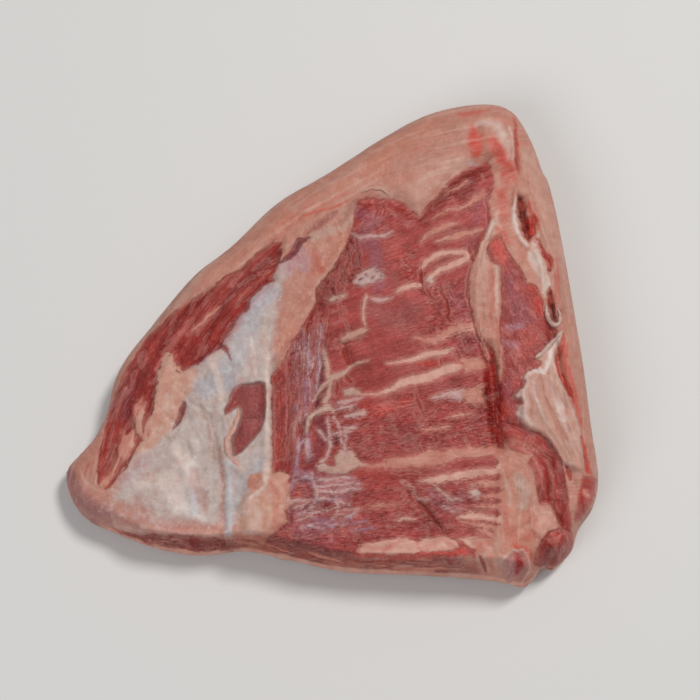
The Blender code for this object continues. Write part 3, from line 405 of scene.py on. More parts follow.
# Tissues in the order they are laid: kind, its edge, colour, the depth of bare meat or a cover's thickness, where.
TISSUES = (
    ("bare", "frayed", "crimson", 0.0, TROUGH),
    ("bare", "clean", "lean_dim", 0.5, WINDOW),
    ("bare", "clean", "plum", 0.3, ((-77, -40), (-75, -41), (-76, -47), (-78, -51), (-82, -55), (-80, -49))),
    ("bare", "torn", "plum", 1.2, ((-12, 46.5, 0.5), (-16.5, 45, 1.5), (-19.5, 40, 2.0), (-22.5, 36.5, 1.7),
        (-27, 34, 0.5))),
    ("bare", "torn", "deep_red", 0.4, ((-56, -13, 1.6), (-51.5, -20, 0.3))),
    ("bare", "torn", "lean", 0.0, CENTRE_MUSCLE),
    ("bare", "torn", "lean", 0.0, RIGHT_MUSCLE),
    ("bare", "torn", "wound", 0.2, CUT_STRIP),
    ("bare", "torn", "crimson", 0.0, LOBE),
    ("bare", "torn", "skin_pink", 0.0, ((86.5, -124), (90, -119.6), (94.5, -117.6), (98.6, -121), (99.8, -126),
        (97.4, -130.4), (91, -131), (87, -128.6))),
    ("bare", "torn", "lean_bright", 0.0, ((128, -80), (136, -79.5), (134, -90.5), (128, -101), (124, -102),
        (125, -89.5))),
    ("bare", "torn", "wound", 0.6, ((98.4, 69.6), (100.8, 68.4), (100.9, 64), (102.8, 62.6), (102, 58.4),
        (104.4, 57), (106.4, 57.8), (108, 54.6), (106.6, 51.4), (107.2, 48.4), (104.8, 45.6), (103.6, 42.6),
        (101.6, 45), (101.2, 48.4), (99.6, 50.6), (99.8, 54.4), (98.4, 57.4), (98.7, 61.6), (97.6, 65))),
    ("bare", "torn", "deep_red", 0.5, ((99.6, 67.6, 0.5), (99.9, 62, 0.7), (101.2, 56, 0.9), (102.8, 49.6, 1.0),
        (103.4, 45, 0.4))),
    ("bare", "torn", "ember", 0.0, ((103.4, 58.4, 0.4), (105, 55.6, 1.1), (106.4, 53, 0.9), (104.6, 49.4, 0.5))),
    ("bare", "torn", "ember", 0.0, ((101, 66, 0.3), (101.6, 64, 0.5))),
    ("bare", "torn", "wound", 0.6, ((107, 45.4, 0.5), (109.6, 40.6, 0.8), (111.2, 36, 1.0), (113.8, 33.4, 1.8),
        (113.6, 28.6, 1.0))),
    ("bare", "torn", "ember", 0.0, ((113, 36.6, 0.4), (114.8, 33.4, 0.8), (113.8, 30, 0.4))),
    ("bare", "torn", "wound", 0.6, ((112.8, 19.4), (114.4, 16.8), (115, 12.6), (116.4, 9.6), (116, 6), (117, 3),
        (115.8, 0.6), (113.8, 3), (113.6, 7), (112.2, 9.4), (112.6, 13.6))),
    ("bare", "torn", "deep_red", 0.4, ((114.4, 9, 0.5), (115.2, 5, 0.8), (115.4, 2, 0.5))),
    ("bare", "torn", "orange_red", 0.3, ((120, -6, 0.6), (118.5, -13, 1.4), (116.5, -20, 1.2), (117, -27, 1.3),
        (120.5, -34, 1.3), (124, -42, 0.6))),
    ("bare", "torn", "orange_red", 0.2, ((127.5, -60, 0.6), (129.5, -68, 1.2), (131, -77, 2.0))),
    ("bare", "torn", "wound", 0.6, ((119.6, -75, 0.6), (121, -79, 1.4), (121.5, -82, 0.6))),
    # fat on the trough and the tongue
    ("cover", "frayed", "rib", 0.7, ((-110, -62), (-107.4, -53.5), (-103.6, -54), (-101.4, -60), (-103.6, -66.5),
        (-107, -70))),
    ("cover", "frayed", "rib", 0.3, ((-98, -36), (-101.6, -42), (-102.4, -50), (-100, -56), (-97.6, -57),
        (-96.8, -47))),
    ("cover", "frayed", "fat_orange", 0.5, ((-117, -83, 1.2), (-112, -73, 0.9), (-108.5, -64, 0.4))),
    ("cover", "frayed", "fat_orange", 0.3, ((-74, -4, 0.3), (-66, 3, 0.7), (-58, 11, 0.3))),
    ("bare", "torn", "crimson", 0.2, ((-102, -55, 0.5), (-99.6, -59, 1.6), (-97, -59.6, 0.3))),
    *(("cover", "soft", colour, 0.25, shape) for colour, shape in RIBS),
    ("cover", "torn", "fat_pale", 0.9, ((4.6, -10.5), (8.5, -7.8), (15, -5.6), (19.3, -6.2), (16, -8.7),
        (10.4, -11), (5.3, -12.3))),
    ("cover", "soft", "chalk", 1.6, ((72, -89.3, 2.3), (72.2, -89.4, 2.2))),
    ("cover", "soft", "pad", 0.7, ((11.5, 19.5), (13, 23), (17, 25.5), (22, 27.6), (26, 26.5), (27.5, 23.5),
        (24, 21), (19, 18.5), (15, 17))),
    *(("bare", "torn", "lilac", 0.3, hole) for hole in PAD_HOLES),
    ("cover", "torn", "cream", 0.7, ((6.3, -36.7), (10, -35.8), (13.8, -36.8), (15.6, -39.4), (11.9, -40.8),
        (6.9, -40.3))),
    ("cover", "torn", "web", 0.6, ((7.5, -50.6, 0.8), (11, -49.9, 1.3), (16.6, -48.8, 1.1))),
    ("cover", "torn", "web", 0.6, ((6.5, -57, 1.1), (9, -57.4, 1.3), (12, -56.2, 0.8))),
    ("cover", "torn", "cream", 0.7, ((2, -70.6), (4.5, -67.9), (8.2, -67.3), (11.5, -69.3), (13.2, -72.4),
        (16, -74.6), (11.5, -77.6), (8.8, -79.4), (1.4, -80.3), (-6, -78), (-7.5, -75), (-4, -73.6), (-1, -76),
        (2, -76))),
    ("cover", "soft", "cream", 1.1, ((-1, 10.6, 1.2), (2.5, 11.2, 1.3), (6, 12.3, 0.6))),
    # the seams, flaps and front
    ("cover", "torn", "fat_pale", 1.5, ((119, -5), (112.5, -12), (109, -17), (104.5, -20.5), (107.5, -22.5),
        (108, -26), (104, -26.5), (101, -28), (98, -36), (96, -40), (98, -43.5), (96, -47.5), (97.5, -54),
        (101, -57), (106.5, -59), (110.5, -62), (118, -74), (126.5, -78), (126.5, -62), (123.5, -48.5),
        (121, -40.5), (117.5, -34.5), (114.5, -28), (113.5, -21), (115.5, -14))),
    ("cover", "torn", "white", 2.1, ((100.8, -29.4, 0.8), (99.8, -31.2, 1.1))),
    ("cover", "torn", "chalk", 2.0, ((96.6, -37.6, 0.9), (95.4, -39.8, 1.3))),
    ("cover", "torn", "chalk", 1.9, ((96.4, -45.8, 0.8), (95.8, -48.6, 1.2), (97, -51.4, 0.7))),
    ("bare", "torn", "cut_red", 0.3, ((75.6, -6), (77.4, -9), (80.2, -16), (80.4, -24), (78.8, -33), (80, -42),
        (82, -55), (84.6, -66), (88.4, -66), (86.8, -50), (86, -35), (85.6, -25), (84, -17), (80, -8))),
    ("cover", "torn", "fat", 0.6, ((85.4, 57.5), (82, 53), (78, 40), (73, 29), (71.5, 12), (74.6, -4), (79.6, -11),
        (83.6, -16), (85.2, -24), (86.6, -33), (87.8, -24), (87, -12), (86, 0), (88, 12), (87.6, 24), (86.6, 29.4),
        (83.6, 29.8), (80.8, 32.4), (79.6, 36.4), (81, 41), (84, 45), (87, 47), (88.4, 52))),
    ("bare", "soft", "lean_bright", 0.0, ((81, 38), (83.6, 43.4), (87.6, 46.6), (90.6, 41.4), (90.6, 35),
        (88, 30.6), (84.4, 31), (81.6, 34))),
    ("cover", "torn", "fat", 0.8, ((90, -69), (92, -70.4), (99, -75), (104, -86), (106, -95), (113, -99),
        (109, -109), (102, -117), (90, -117), (88, -100))),
    ("cover", "frayed", "rib_pale", 0.8, ((13, -117.4), (18, -114.6), (28, -113), (39, -112), (43.6, -114.6),
        (47, -112.4), (57, -111.4), (62, -113.6), (62, -117), (55, -118.6), (40, -119.4), (28, -120.4),
        (19, -119.2))),
    ("cover", "frayed", "fat", 0.6, ((63, -113), (70, -111), (78, -112), (84, -112), (84, -130), (76, -126),
        (70, -118))),
)

# Colour laid over the covers, then over the meat: the colour, how much of it, softness of its edge, where.
COVER_TINTS = (
    # upper band and dome
    ("fat_orange", 0.9, 14, ((-100, -2), (-60, 38), (-20, 66), (30, 96), (40, 110), (0, 92), (-60, 46),
        (-110, -10))),
    ("fat_orange", 0.7, 8, ((-70, 26, 5), (-40, 47, 5), (-14, 62, 4), (14, 80, 4))),
    ("fat_orange", 0.9, 10, ((20, 76), (50, 92), (70, 118), (40, 114), (10, 92))),
    ("fat_pale", 1.0, 6, ((28, 72, 3), (44, 68, 6), (54, 78, 5), (66, 88, 4))),
    ("tan", 0.5, 5, ((34, 86, 6), (54, 96, 8), (66, 112, 6))),
    ("tan", 0.7, 10, ((-100, 2, 4), (-70, 36, 3), (-40, 64, 3), (0, 91, 3), (50, 121, 4))),
    ("fat", 1.0, 6, ((84, 98, 4), (92, 90, 5), (90, 78, 5), (88, 66, 4))),
    ("orange_red", 1.0, 4.5, ((76, 108, 1.4), (76, 101, 4.8), (77.4, 95, 3.4))),
    ("ember", 0.7, 4, ((75.5, 101, 2.6), (77, 97, 3.2))),
    ("orange_red", 0.9, 4.5, ((84, 101, 1.6), (88, 98, 3.4), (92, 93, 3.6), (93.4, 87, 2.4), (91, 80, 1))),
    ("blush", 0.6, 5, ((86, 70, 3), (90, 62, 4), (91, 52, 3))),
    ("orange_red", 0.7, 4, ((93, 95, 1), (96, 88, 2), (96, 80, 2))),
    ("blush", 0.7, 3, ((69, 117, 1), (73, 116.5, 2), (83, 119, 1))),
    ("film", 0.6, 4, ((80, 110.6, 1.8), (86, 110.4, 2.4), (90.4, 105.6, 2.4), (93, 99, 2.4), (95.4, 92, 1.0))),
    ("film", 0.7, 1.2, ((94.6, 110, 0.4), (96, 105, 0.9), (96.6, 99, 0.5), (96.8, 90, 0.5))),
    ("pad", 0.8, 2.0, ((73, 89, 1.2), (77, 87.6, 1.8), (81, 85, 1.0))),
    ("orange_red", 0.35, 1.2, ((40, 95, 0.3), (45, 94, 0.6), (50, 96, 0.3))),
    ("orange_red", 0.65, 1.2, ((-19, 57.5, 0.4), (-9.5, 60, 0.9), (4, 63.8, 0.8), (9, 66, 0.3))),
    ("orange_red", 0.35, 1.6, ((-14, 62.5, 0.4), (-2, 66, 0.8), (10, 71, 0.5))),
    ("skin_edge", 0.7, 1.0, ((-17, 60, 0.3), (-2, 67, 0.5), (13, 75.5, 0.5), (24, 82, 0.2))),
    ("plum", 0.55, 2.0, ((-13, 48.5, 0.6), (-5.5, 54, 2.0), (2.5, 59.5, 1.2))),
    ("cream", 0.95, 4, ((-9, 45, 3), (-2, 48, 4), (6, 50, 3), (8, 56, 2), (10, 62, 2))),
    ("tan", 0.6, 3, ((5, 55, 2), (12, 66, 2))),
    ("skin_edge", 0.8, 1.5, ((16, 72, 0.5), (21, 74, 0.9), (27.5, 72.5, 0.8), (30, 70, 0.4))),
    # speckled strip beside the sliver
    ("fat_orange", 1.0, 5, ((8, 46, 4), (0, 32, 5), (-8, 18, 5), (-14, 6, 5), (-22, -8, 4), (-29, -22, 3))),
    ("tan", 0.4, 5, ((2, 38, 3), (-10, 18, 4), (-18, 2, 4))),
    ("skin_edge", 0.6, 2, ((6, 40, 0.8), (0, 30, 1.0), (-8, 20, 0.8), (-10, 9, 0.8))),
    ("blush", 0.45, 4, ((-9, 35, 2), (-6, 28, 2))),
    ("lilac_pale", 0.7, 4, ((-24, 30, 4), (-17, 38, 4), (-12, 30, 2))),
    # silverskin
    ("silver", 1.0, 7, ((-24, 34), (-42, 13), (-56, -12), (-78, -27), (-92, -52), (-104, -76), (-112, -92),
        (-96, -101), (-56, -104), (-38, -94), (-31, -60), (-31, -10), (-27, 10))),
    ("silver_blue", 0.9, 5, ((-30, 18, 4), (-42, 6, 5), (-48, -12, 6), (-54, -30, 6), (-68, -34, 4))),
    ("silver_blue", 0.6, 5, ((-36, -74, 3), (-44, -84, 5), (-50, -98, 4))),
    ("lilac_pale", 0.7, 2.5, ((-31, 22, 1.5), (-44, 8, 2), (-57, -12, 2), (-70, -22, 2), (-82, -26, 1.5))),
    ("lilac_pale", 0.45, 6, ((-96, -68, 4), (-104, -80, 4))),
    ("wedge", 1.0, 4, ((-84, -8), (-89, -14), (-92, -24), (-94, -42), (-102, -50), (-103, -60), (-97, -65),
        (-90, -62), (-82, -57), (-78, -48), (-76, -38), (-71, -30), (-70, -23), (-78, -23), (-82, -19))),
    ("rib", 0.6, 3, ((-94, -42, 1.5), (-90, -50, 2), (-96, -56, 2))),
    ("white", 0.8, 5, ((-80, -66, 2.5), (-74, -72, 4), (-70, -80, 2.5))),
    ("white", 0.15, 4, ((-60, -16, 3), (-48, -12, 5), (-42, -20, 5), (-36, -14, 4))),
    ("white", 0.6, 5, ((-86, -84, 3), (-76, -92, 4), (-66, -100, 3))),
    ("fat_orange", 0.4, 6, ((-84, -24, 2), (-88, -40, 3))),
    ("skin_pink", 0.75, 6, ((-118, -96, 4), (-100, -98, 5), (-84, -103, 4), (-62, -105, 3))),
    ("fat", 0.6, 4, ((-108, -94, 4), (-98, -100, 4))),
    ("tip_pink", 0.95, 7, ((-136, -76, 4), (-132, -88, 5), (-122, -96, 4), (-114, -100, 2))),
    ("fat", 0.8, 6, ((-128, -72, 4), (-120, -80, 4), (-118, -88, 3))),
    ("tan", 0.45, 6, ((-130, -70, 4), (-122, -79, 4))),
    ("fat_orange", 0.35, 3, ((-95, -74, 1.5), (-92, -80, 2))),
    ("skin_pink", 0.5, 4, ((-70, -76, 3), (-66, -92, 4))),
    ("skin_pink", 0.6, 1.6, ((-58.5, -60, 0.6), (-55, -84, 0.8), (-54, -106, 0.8))),
    ("tan", 0.5, 1.6, ((-70, -36, 0.5), (-64, -50, 0.7), (-61, -70, 0.6))),
    ("skin_edge", 1.0, 2, ((-112, -103, 1), (-98, -106, 1.6), (-76, -107.5, 1.6), (-58, -108.5, 2),
        (-44, -111, 1.6), (-36, -111, 1))),
    ("wedge", 1.0, 4, ((-43, -88), (-42, -82), (-36, -79), (-30, -80), (-21, -80), (-21, -104), (-34, -112),
        (-46, -112), (-47, -98))),
    ("film", 0.5, 4, ((-38, -92, 2), (-36, -102, 3), (-40, -108, 2))),
    ("blush", 0.4, 3, ((-30, -84, 2), (-27, -92, 2), (-28, -104, 1.6))),
    ("rib", 0.8, 3, ((-22.5, -84, 1.2), (-23, -98, 1.2), (-28, -108, 1.6))),
    ("blush", 0.5, 2, ((-124, -70, 0.6), (-127, -74, 1.0), (-128, -79, 0.4))),
    ("film", 0.9, 1.6, ((-34, -9, 0.6), (-33, -22, 1.4), (-32.2, -40, 1.5), (-32, -62, 1.5), (-32.4, -78, 1.4),
        (-35, -87, 1.1), (-41, -91, 0.8))),
    ("silver", 0.6, 1.0, ((-42, -86, 0.6), (-44.5, -97, 0.8), (-50, -104, 0.4))),
    ("skin_edge", 0.9, 1.2, ((-48, -43, 0.4), (-48, -48.5, 0.8), (-51, -55, 1.0), (-53, -62, 1.1),
        (-51.5, -70, 1.0), (-47, -75, 0.7))),
    ("film", 0.9, 3, ((-80, -64, 1.6), (-75, -70, 2.2))),
    ("film_blue", 0.9, 3.0, ((-73, -84, 0.8), (-71, -91, 2.0), (-70.3, -98, 1.6))),
    ("film_blue", 0.8, 2.5, ((-52, -74, 1.0), (-52, -90, 1.8), (-52, -109, 1.8))),
    ("tan", 0.8, 2.0, ((-57, -66, 0.6), (-55.6, -80, 1.0), (-55.4, -96, 1.1), (-55.4, -109, 1.0))),
    ("film", 0.7, 3, ((-64, -16, 1), (-58, -30, 2), (-57, -40, 1.5))),
    ("film", 0.25, 3, ((-44, -4, 2), (-42, -14, 3), (-36, -22, 2))),
    ("film_blue", 0.7, 2.5, ((-40, -70, 1.6), (-37, -76, 1.6))),
    ("film", 0.6, 4, ((-96, -84, 2), (-88, -80, 3), (-80, -84, 3), (-66, -84, 2))),
    ("brown", 0.5, 0.9, ((-69, -43, 0.1), (-60, -54, 0.4), (-60, -70, 0.4), (-55.5, -80, 0.3), (-55, -92, 0.2))),
    ("orange_red", 0.5, 0.9, ((-94.7, -38, 0.4), (-94.5, -48, 0.4), (-95, -58, 0.2))),
    ("skin_pink", 0.8, 2.5, ((-100, -90, 1), (-99, -108, 1.6))),
    ("blush", 0.22, 2.5, ((-92, -106, 1), (-76, -106.5, 1.4), (-60, -107, 1.6), (-56, -100, 0.8))),
    ("fat_orange", 1.0, 1.4, ((-42.5, -86), (-42, -80), (-38, -78.5), (-34.5, -80), (-34.5, -85), (-37, -88))),
    ("skin_edge", 0.9, 1.0, ((-131, -72, 0.2), (-127.7, -80, 0.5), (-121.3, -85.4, 0.6), (-114, -87, 0.3))),
    # front edge
    ("ember", 1.0, 1.4, ((12, -119.6, 0.6), (24, -121.2, 1.0), (40, -121.2, 1.1), (60, -120.2, 0.9))),
    ("rib_pale", 0.8, 2.4, ((18, -117, 1.4), (30, -116.6, 2.2), (40, -116, 1.6))),
    ("blush", 0.5, 2.5, ((16, -116, 1.0), (26, -118, 1.2), (35, -114, 0.8))),
    ("blush", 0.5, 2.5, ((48, -117, 1.0), (54, -113, 1.0), (61, -116, 0.8))),
    ("rib_pale", 0.8, 2.4, ((46, -115.6, 1.6), (56, -114.6, 1.8))),
    ("blush", 0.5, 1.2, ((42.4, -112.6, 0.4), (43.6, -116, 0.6), (45.4, -118, 0.3))),
    ("crimson", 0.6, 2.0, ((-34, -114.6, 0.8), (-12, -118.6, 1.2), (10, -121.6, 1.2), (34, -123.4, 1.0),
        (58, -122.8, 1.0))),
    ("gash", 0.6, 0.9, ((-24, -106.6, 0.3), (-21.4, -110, 0.6), (-15, -116, 0.4), (-2, -119.6, 0.2))),
    ("rust", 0.6, 3, ((52, -121, 1.5), (62, -124, 2.5), (74, -127, 2))),
    ("rib_pale", 0.7, 2.4, ((68, -119.6, 1.2), (75, -122, 1.4), (80, -126, 1))),
    ("blush", 0.6, 1.6, ((70, -119.6, 0.5), (72.4, -122.6, 0.8), (71.6, -126, 0.4))),
    ("gash", 0.7, 1.0, ((57.5, -122, 0.3), (60, -122.6, 0.8), (63, -122.4, 0.3))),
    ("gash", 0.7, 1.0, ((74, -121, 0.4), (77, -124, 0.6), (79.5, -127.5, 0.3))),
    ("orange_red", 0.9, 1.4, ((64.5, -116, 1.0), (67.4, -117, 1.2), (66.5, -118.4, 0.8))),
    ("gash", 0.7, 0.8, ((66, -116.8, 0.4), (67.4, -117.2, 0.4))),
    ("rib_pale", 0.9, 1.2, ((62, -119, 0.5), (63.4, -114.6, 0.7), (67, -113.4, 0.8), (71, -115.6, 0.7),
        (70, -119.4, 0.5))),
    ("rib_pale", 0.9, 1.6, ((76, -113, 1.0), (79, -118, 1.4), (82, -124, 1.2))),
    ("skin_edge", 0.8, 1.0, ((82, -114, 0.4), (84.6, -120, 0.6), (83.6, -127, 0.5))),
    ("brown", 0.5, 2, ((-110, -106.4, 0.4), (-92, -112.2, 0.6), (-68, -115.6, 0.6), (-48, -114.4, 0.4))),
    # right side
    ("blush", 0.6, 2.4, ((98, 117, 0.8), (98.6, 106, 1.1), (98.6, 94, 1.2), (98.6, 82, 1.0))),
    ("crimson", 0.9, 1.6, ((98, 116, 0.4), (98.8, 102, 1.0), (98.6, 84, 0.8))),
    ("fat", 1.0, 3, ((78, 46, 4), (77, 28, 5), (79, 8, 6), (82, -14, 4))),
    ("fat_pale", 0.8, 3, ((84, 50, 2), (79, 36, 2.4), (76, 18, 2.4), (77, 2, 2.4))),
    ("film", 0.8, 2, ((86, 56, 0.8), (83.4, 51, 1.2), (80.4, 44, 0.6))),
    ("film", 0.55, 2, ((85.4, 28, 1.0), (85.6, 14, 1.0), (84.4, 0, 0.6))),
    ("ember", 0.7, 3, ((85.6, 50, 0.6), (89.6, 48, 1.4), (92, 42, 1.4))),
    ("blush", 0.4, 1.6, ((82.6, 30, 0.6), (81, 20, 0.7), (81.4, 8, 0.6), (83, -6, 0.5))),
    ("orange_red", 0.5, 1.0, ((84, 24, 0.3), (83.5, 8, 0.5), (86, -8, 0.5), (86, -20, 0.6))),
    ("fat_orange", 0.7, 4, ((93, 54, 2.5), (97, 40, 3), (102, 30, 2.5))),
    ("white", 0.65, 1.4, ((97.4, 68, 0.6), (96, 62, 1.3), (95.8, 56, 1.4), (97, 50, 1.3), (99.2, 44.5, 1.3),
        (102, 41, 1.2))),
    ("film", 0.9, 1.8, ((105, 43.5), (108.9, 48.2), (107.4, 43.4), (110.2, 36.5), (112, 27.8), (114.8, 22.8),
        (112.8, 18), (111.3, 13), (110, 14), (109, 20.8), (106, 26.7), (103, 31), (102, 37))),
    ("ember", 0.8, 1.6, ((103.4, 66, 0.4), (104, 60, 0.8), (108.6, 55, 0.8), (108.6, 50, 0.5))),
    ("ember", 0.7, 1.2, ((104.6, 46, 0.4), (108, 40, 0.5), (112, 30, 0.5), (115, 22, 0.4))),
    ("blush", 0.7, 1.6, ((111, 42, 0.6), (114, 36, 1.6), (115, 30, 1.2))),
    ("orange_red", 0.45, 3, ((96, 84, 1.4), (92, 76, 2), (90, 68, 2))),
    ("skin_edge", 0.7, 2, ((87, 60, 1), (86, 54, 1.4), (88, 50, 0.8))),
    ("fat_pale", 0.8, 4, ((105, 98, 2), (108, 84, 4), (112, 66, 5), (117, 40, 5), (121, 14, 5))),
    ("fat", 0.8, 6, ((122, 10, 4), (125, -20, 4), (129, -50, 4))),
    ("tan", 0.5, 4, ((118, 30, 2), (120, 8, 2))),
    ("blush", 0.55, 2.5, ((117.5, 34, 1), (118, 24, 1.4), (117, 12, 1.6), (118, 2, 1))),
    ("blush", 0.5, 2.5, ((121, -12, 1.2), (121, -24, 1.4), (124, -38, 1.4), (128, -52, 1))),
    ("fat_pale", 1.0, 4, ((101, -33, 4), (103, -45, 6), (112, -52, 6), (118, -64, 5), (123, -76, 3))),
    ("skin_edge", 0.9, 3, ((110, -16, 2), (106, -28, 3), (104, -40, 3), (112, -36, 2.4), (118, -48, 2))),
    ("white", 0.9, 1.4, ((101.5, -27.5, 1.0), (106, -27.2, 1.4), (108.4, -28, 0.9))),
    ("white", 0.45, 2.5, ((99.4, -31, 0.8), (98, -38, 1.4), (99, -44, 1.2), (99, -50, 1.4), (102, -55, 1.0))),
    ("white", 0.8, 1.2, ((119, -6, 0.5), (113.6, -14, 0.8), (111.4, -21, 1.4), (109.6, -27, 0.8))),
    ("white", 0.45, 2.5, ((116, -44, 1.5), (118, -52, 2.0))),
    ("white", 0.4, 1.6, ((102.4, -33, 0.4), (104.6, -44, 0.6), (109, -54, 0.5))),
    ("white", 0.35, 1.6, ((111.6, -30, 0.4), (113, -40, 0.6), (118, -54, 0.7), (122.6, -66, 0.4))),
    ("tan", 0.6, 1.6, ((105.6, -30, 0.4), (109, -42, 0.7), (114.4, -54, 0.6), (119, -66, 0.4))),
    ("tan", 0.5, 1.6, ((115, -36, 0.3), (119, -46, 0.6), (122, -58, 0.5))),
    ("fat_orange", 0.6, 1.0, ((100.6, -36, 0.4), (102, -44, 0.6), (101.6, -51, 0.4))),
    ("white", 0.55, 1.4, ((113.6, -22, 0.5), (118.4, -36, 0.6), (123.8, -48, 0.6), (127.2, -61, 0.5),
        (129, -76, 0.3))),
    ("fat_orange", 0.6, 1.2, ((106, -32, 0.4), (108, -42, 0.7), (114, -52, 0.6), (119, -62, 0.4))),
    ("blush", 0.55, 3, ((120, -14, 1.5), (121, -26, 2), (125, -40, 1.6), (128, -54, 1.2))),
    ("fat_orange", 0.8, 5, ((88, -70, 2), (94, -72, 3), (100, -74, 1.6))),
    ("fat_orange", 0.9, 4, ((88, -78, 4), (94, -90, 6), (96, -104, 8), (90, -116, 6))),
    ("cream", 1.0, 2.5, ((94, -80, 1.5), (96, -84, 3), (98, -90, 3), (97, -96, 2.4))),
    ("blush", 0.35, 4, ((88, -96, 2), (89, -106, 3), (92, -114, 3))),
    ("skin_edge", 0.6, 3, ((84, -110, 1.4), (85, -117, 1.4))),
    ("fat_orange", 0.6, 5, ((96, -110, 4), (102, -112, 3), (98, -118, 3))),
    ("chalk", 0.7, 0.9, ((85, -73, 0.3), (88, -82.5, 0.7), (89.8, -90, 0.8), (90.4, -96, 0.5))),
    ("blush", 0.5, 3, ((99, -112, 1), (103, -108, 1), (104, -100, 1))),
    ("blush", 0.4, 4, ((68, -119, 2), (78, -116, 2))),
    ("blush", 0.5, 2, ((77.6, -117, 0.5), (80.6, -121, 0.7), (82, -127, 0.4))),
    ("ember", 0.8, 1.5, ((86, -44, 0.5), (87.4, -54, 1.0), (88, -62, 0.8))),
    ("ember", 0.8, 4.0, ((91, -114, 1.4), (96, -115, 2.0), (100.6, -119, 1.6))),
    ("fat_pale", 0.9, 3.0, ((84, -118, 1.5), (86, -124, 2.0), (86, -130, 2.0))),
    ("skin_edge", 0.9, 1.2, ((83, -116, 0.4), (85, -122, 0.6), (84.4, -129, 0.5))),
    ("film", 0.8, 1.0, ((86.4, -126, 0.4), (87.6, -121.6, 0.6), (91.6, -118, 0.7), (96, -117.4, 0.6),
        (99.6, -121.6, 0.5), (100.4, -127, 0.5), (98, -131.6, 0.5))),
    ("rib_pale", 0.7, 3.0, ((104, -98, 2.5), (109, -102, 3.5), (105, -108, 3))),
    ("crimson", 0.5, 1.0, ((101.4, -100, 0.3), (100, -106, 0.6), (103, -112, 0.5))),
)
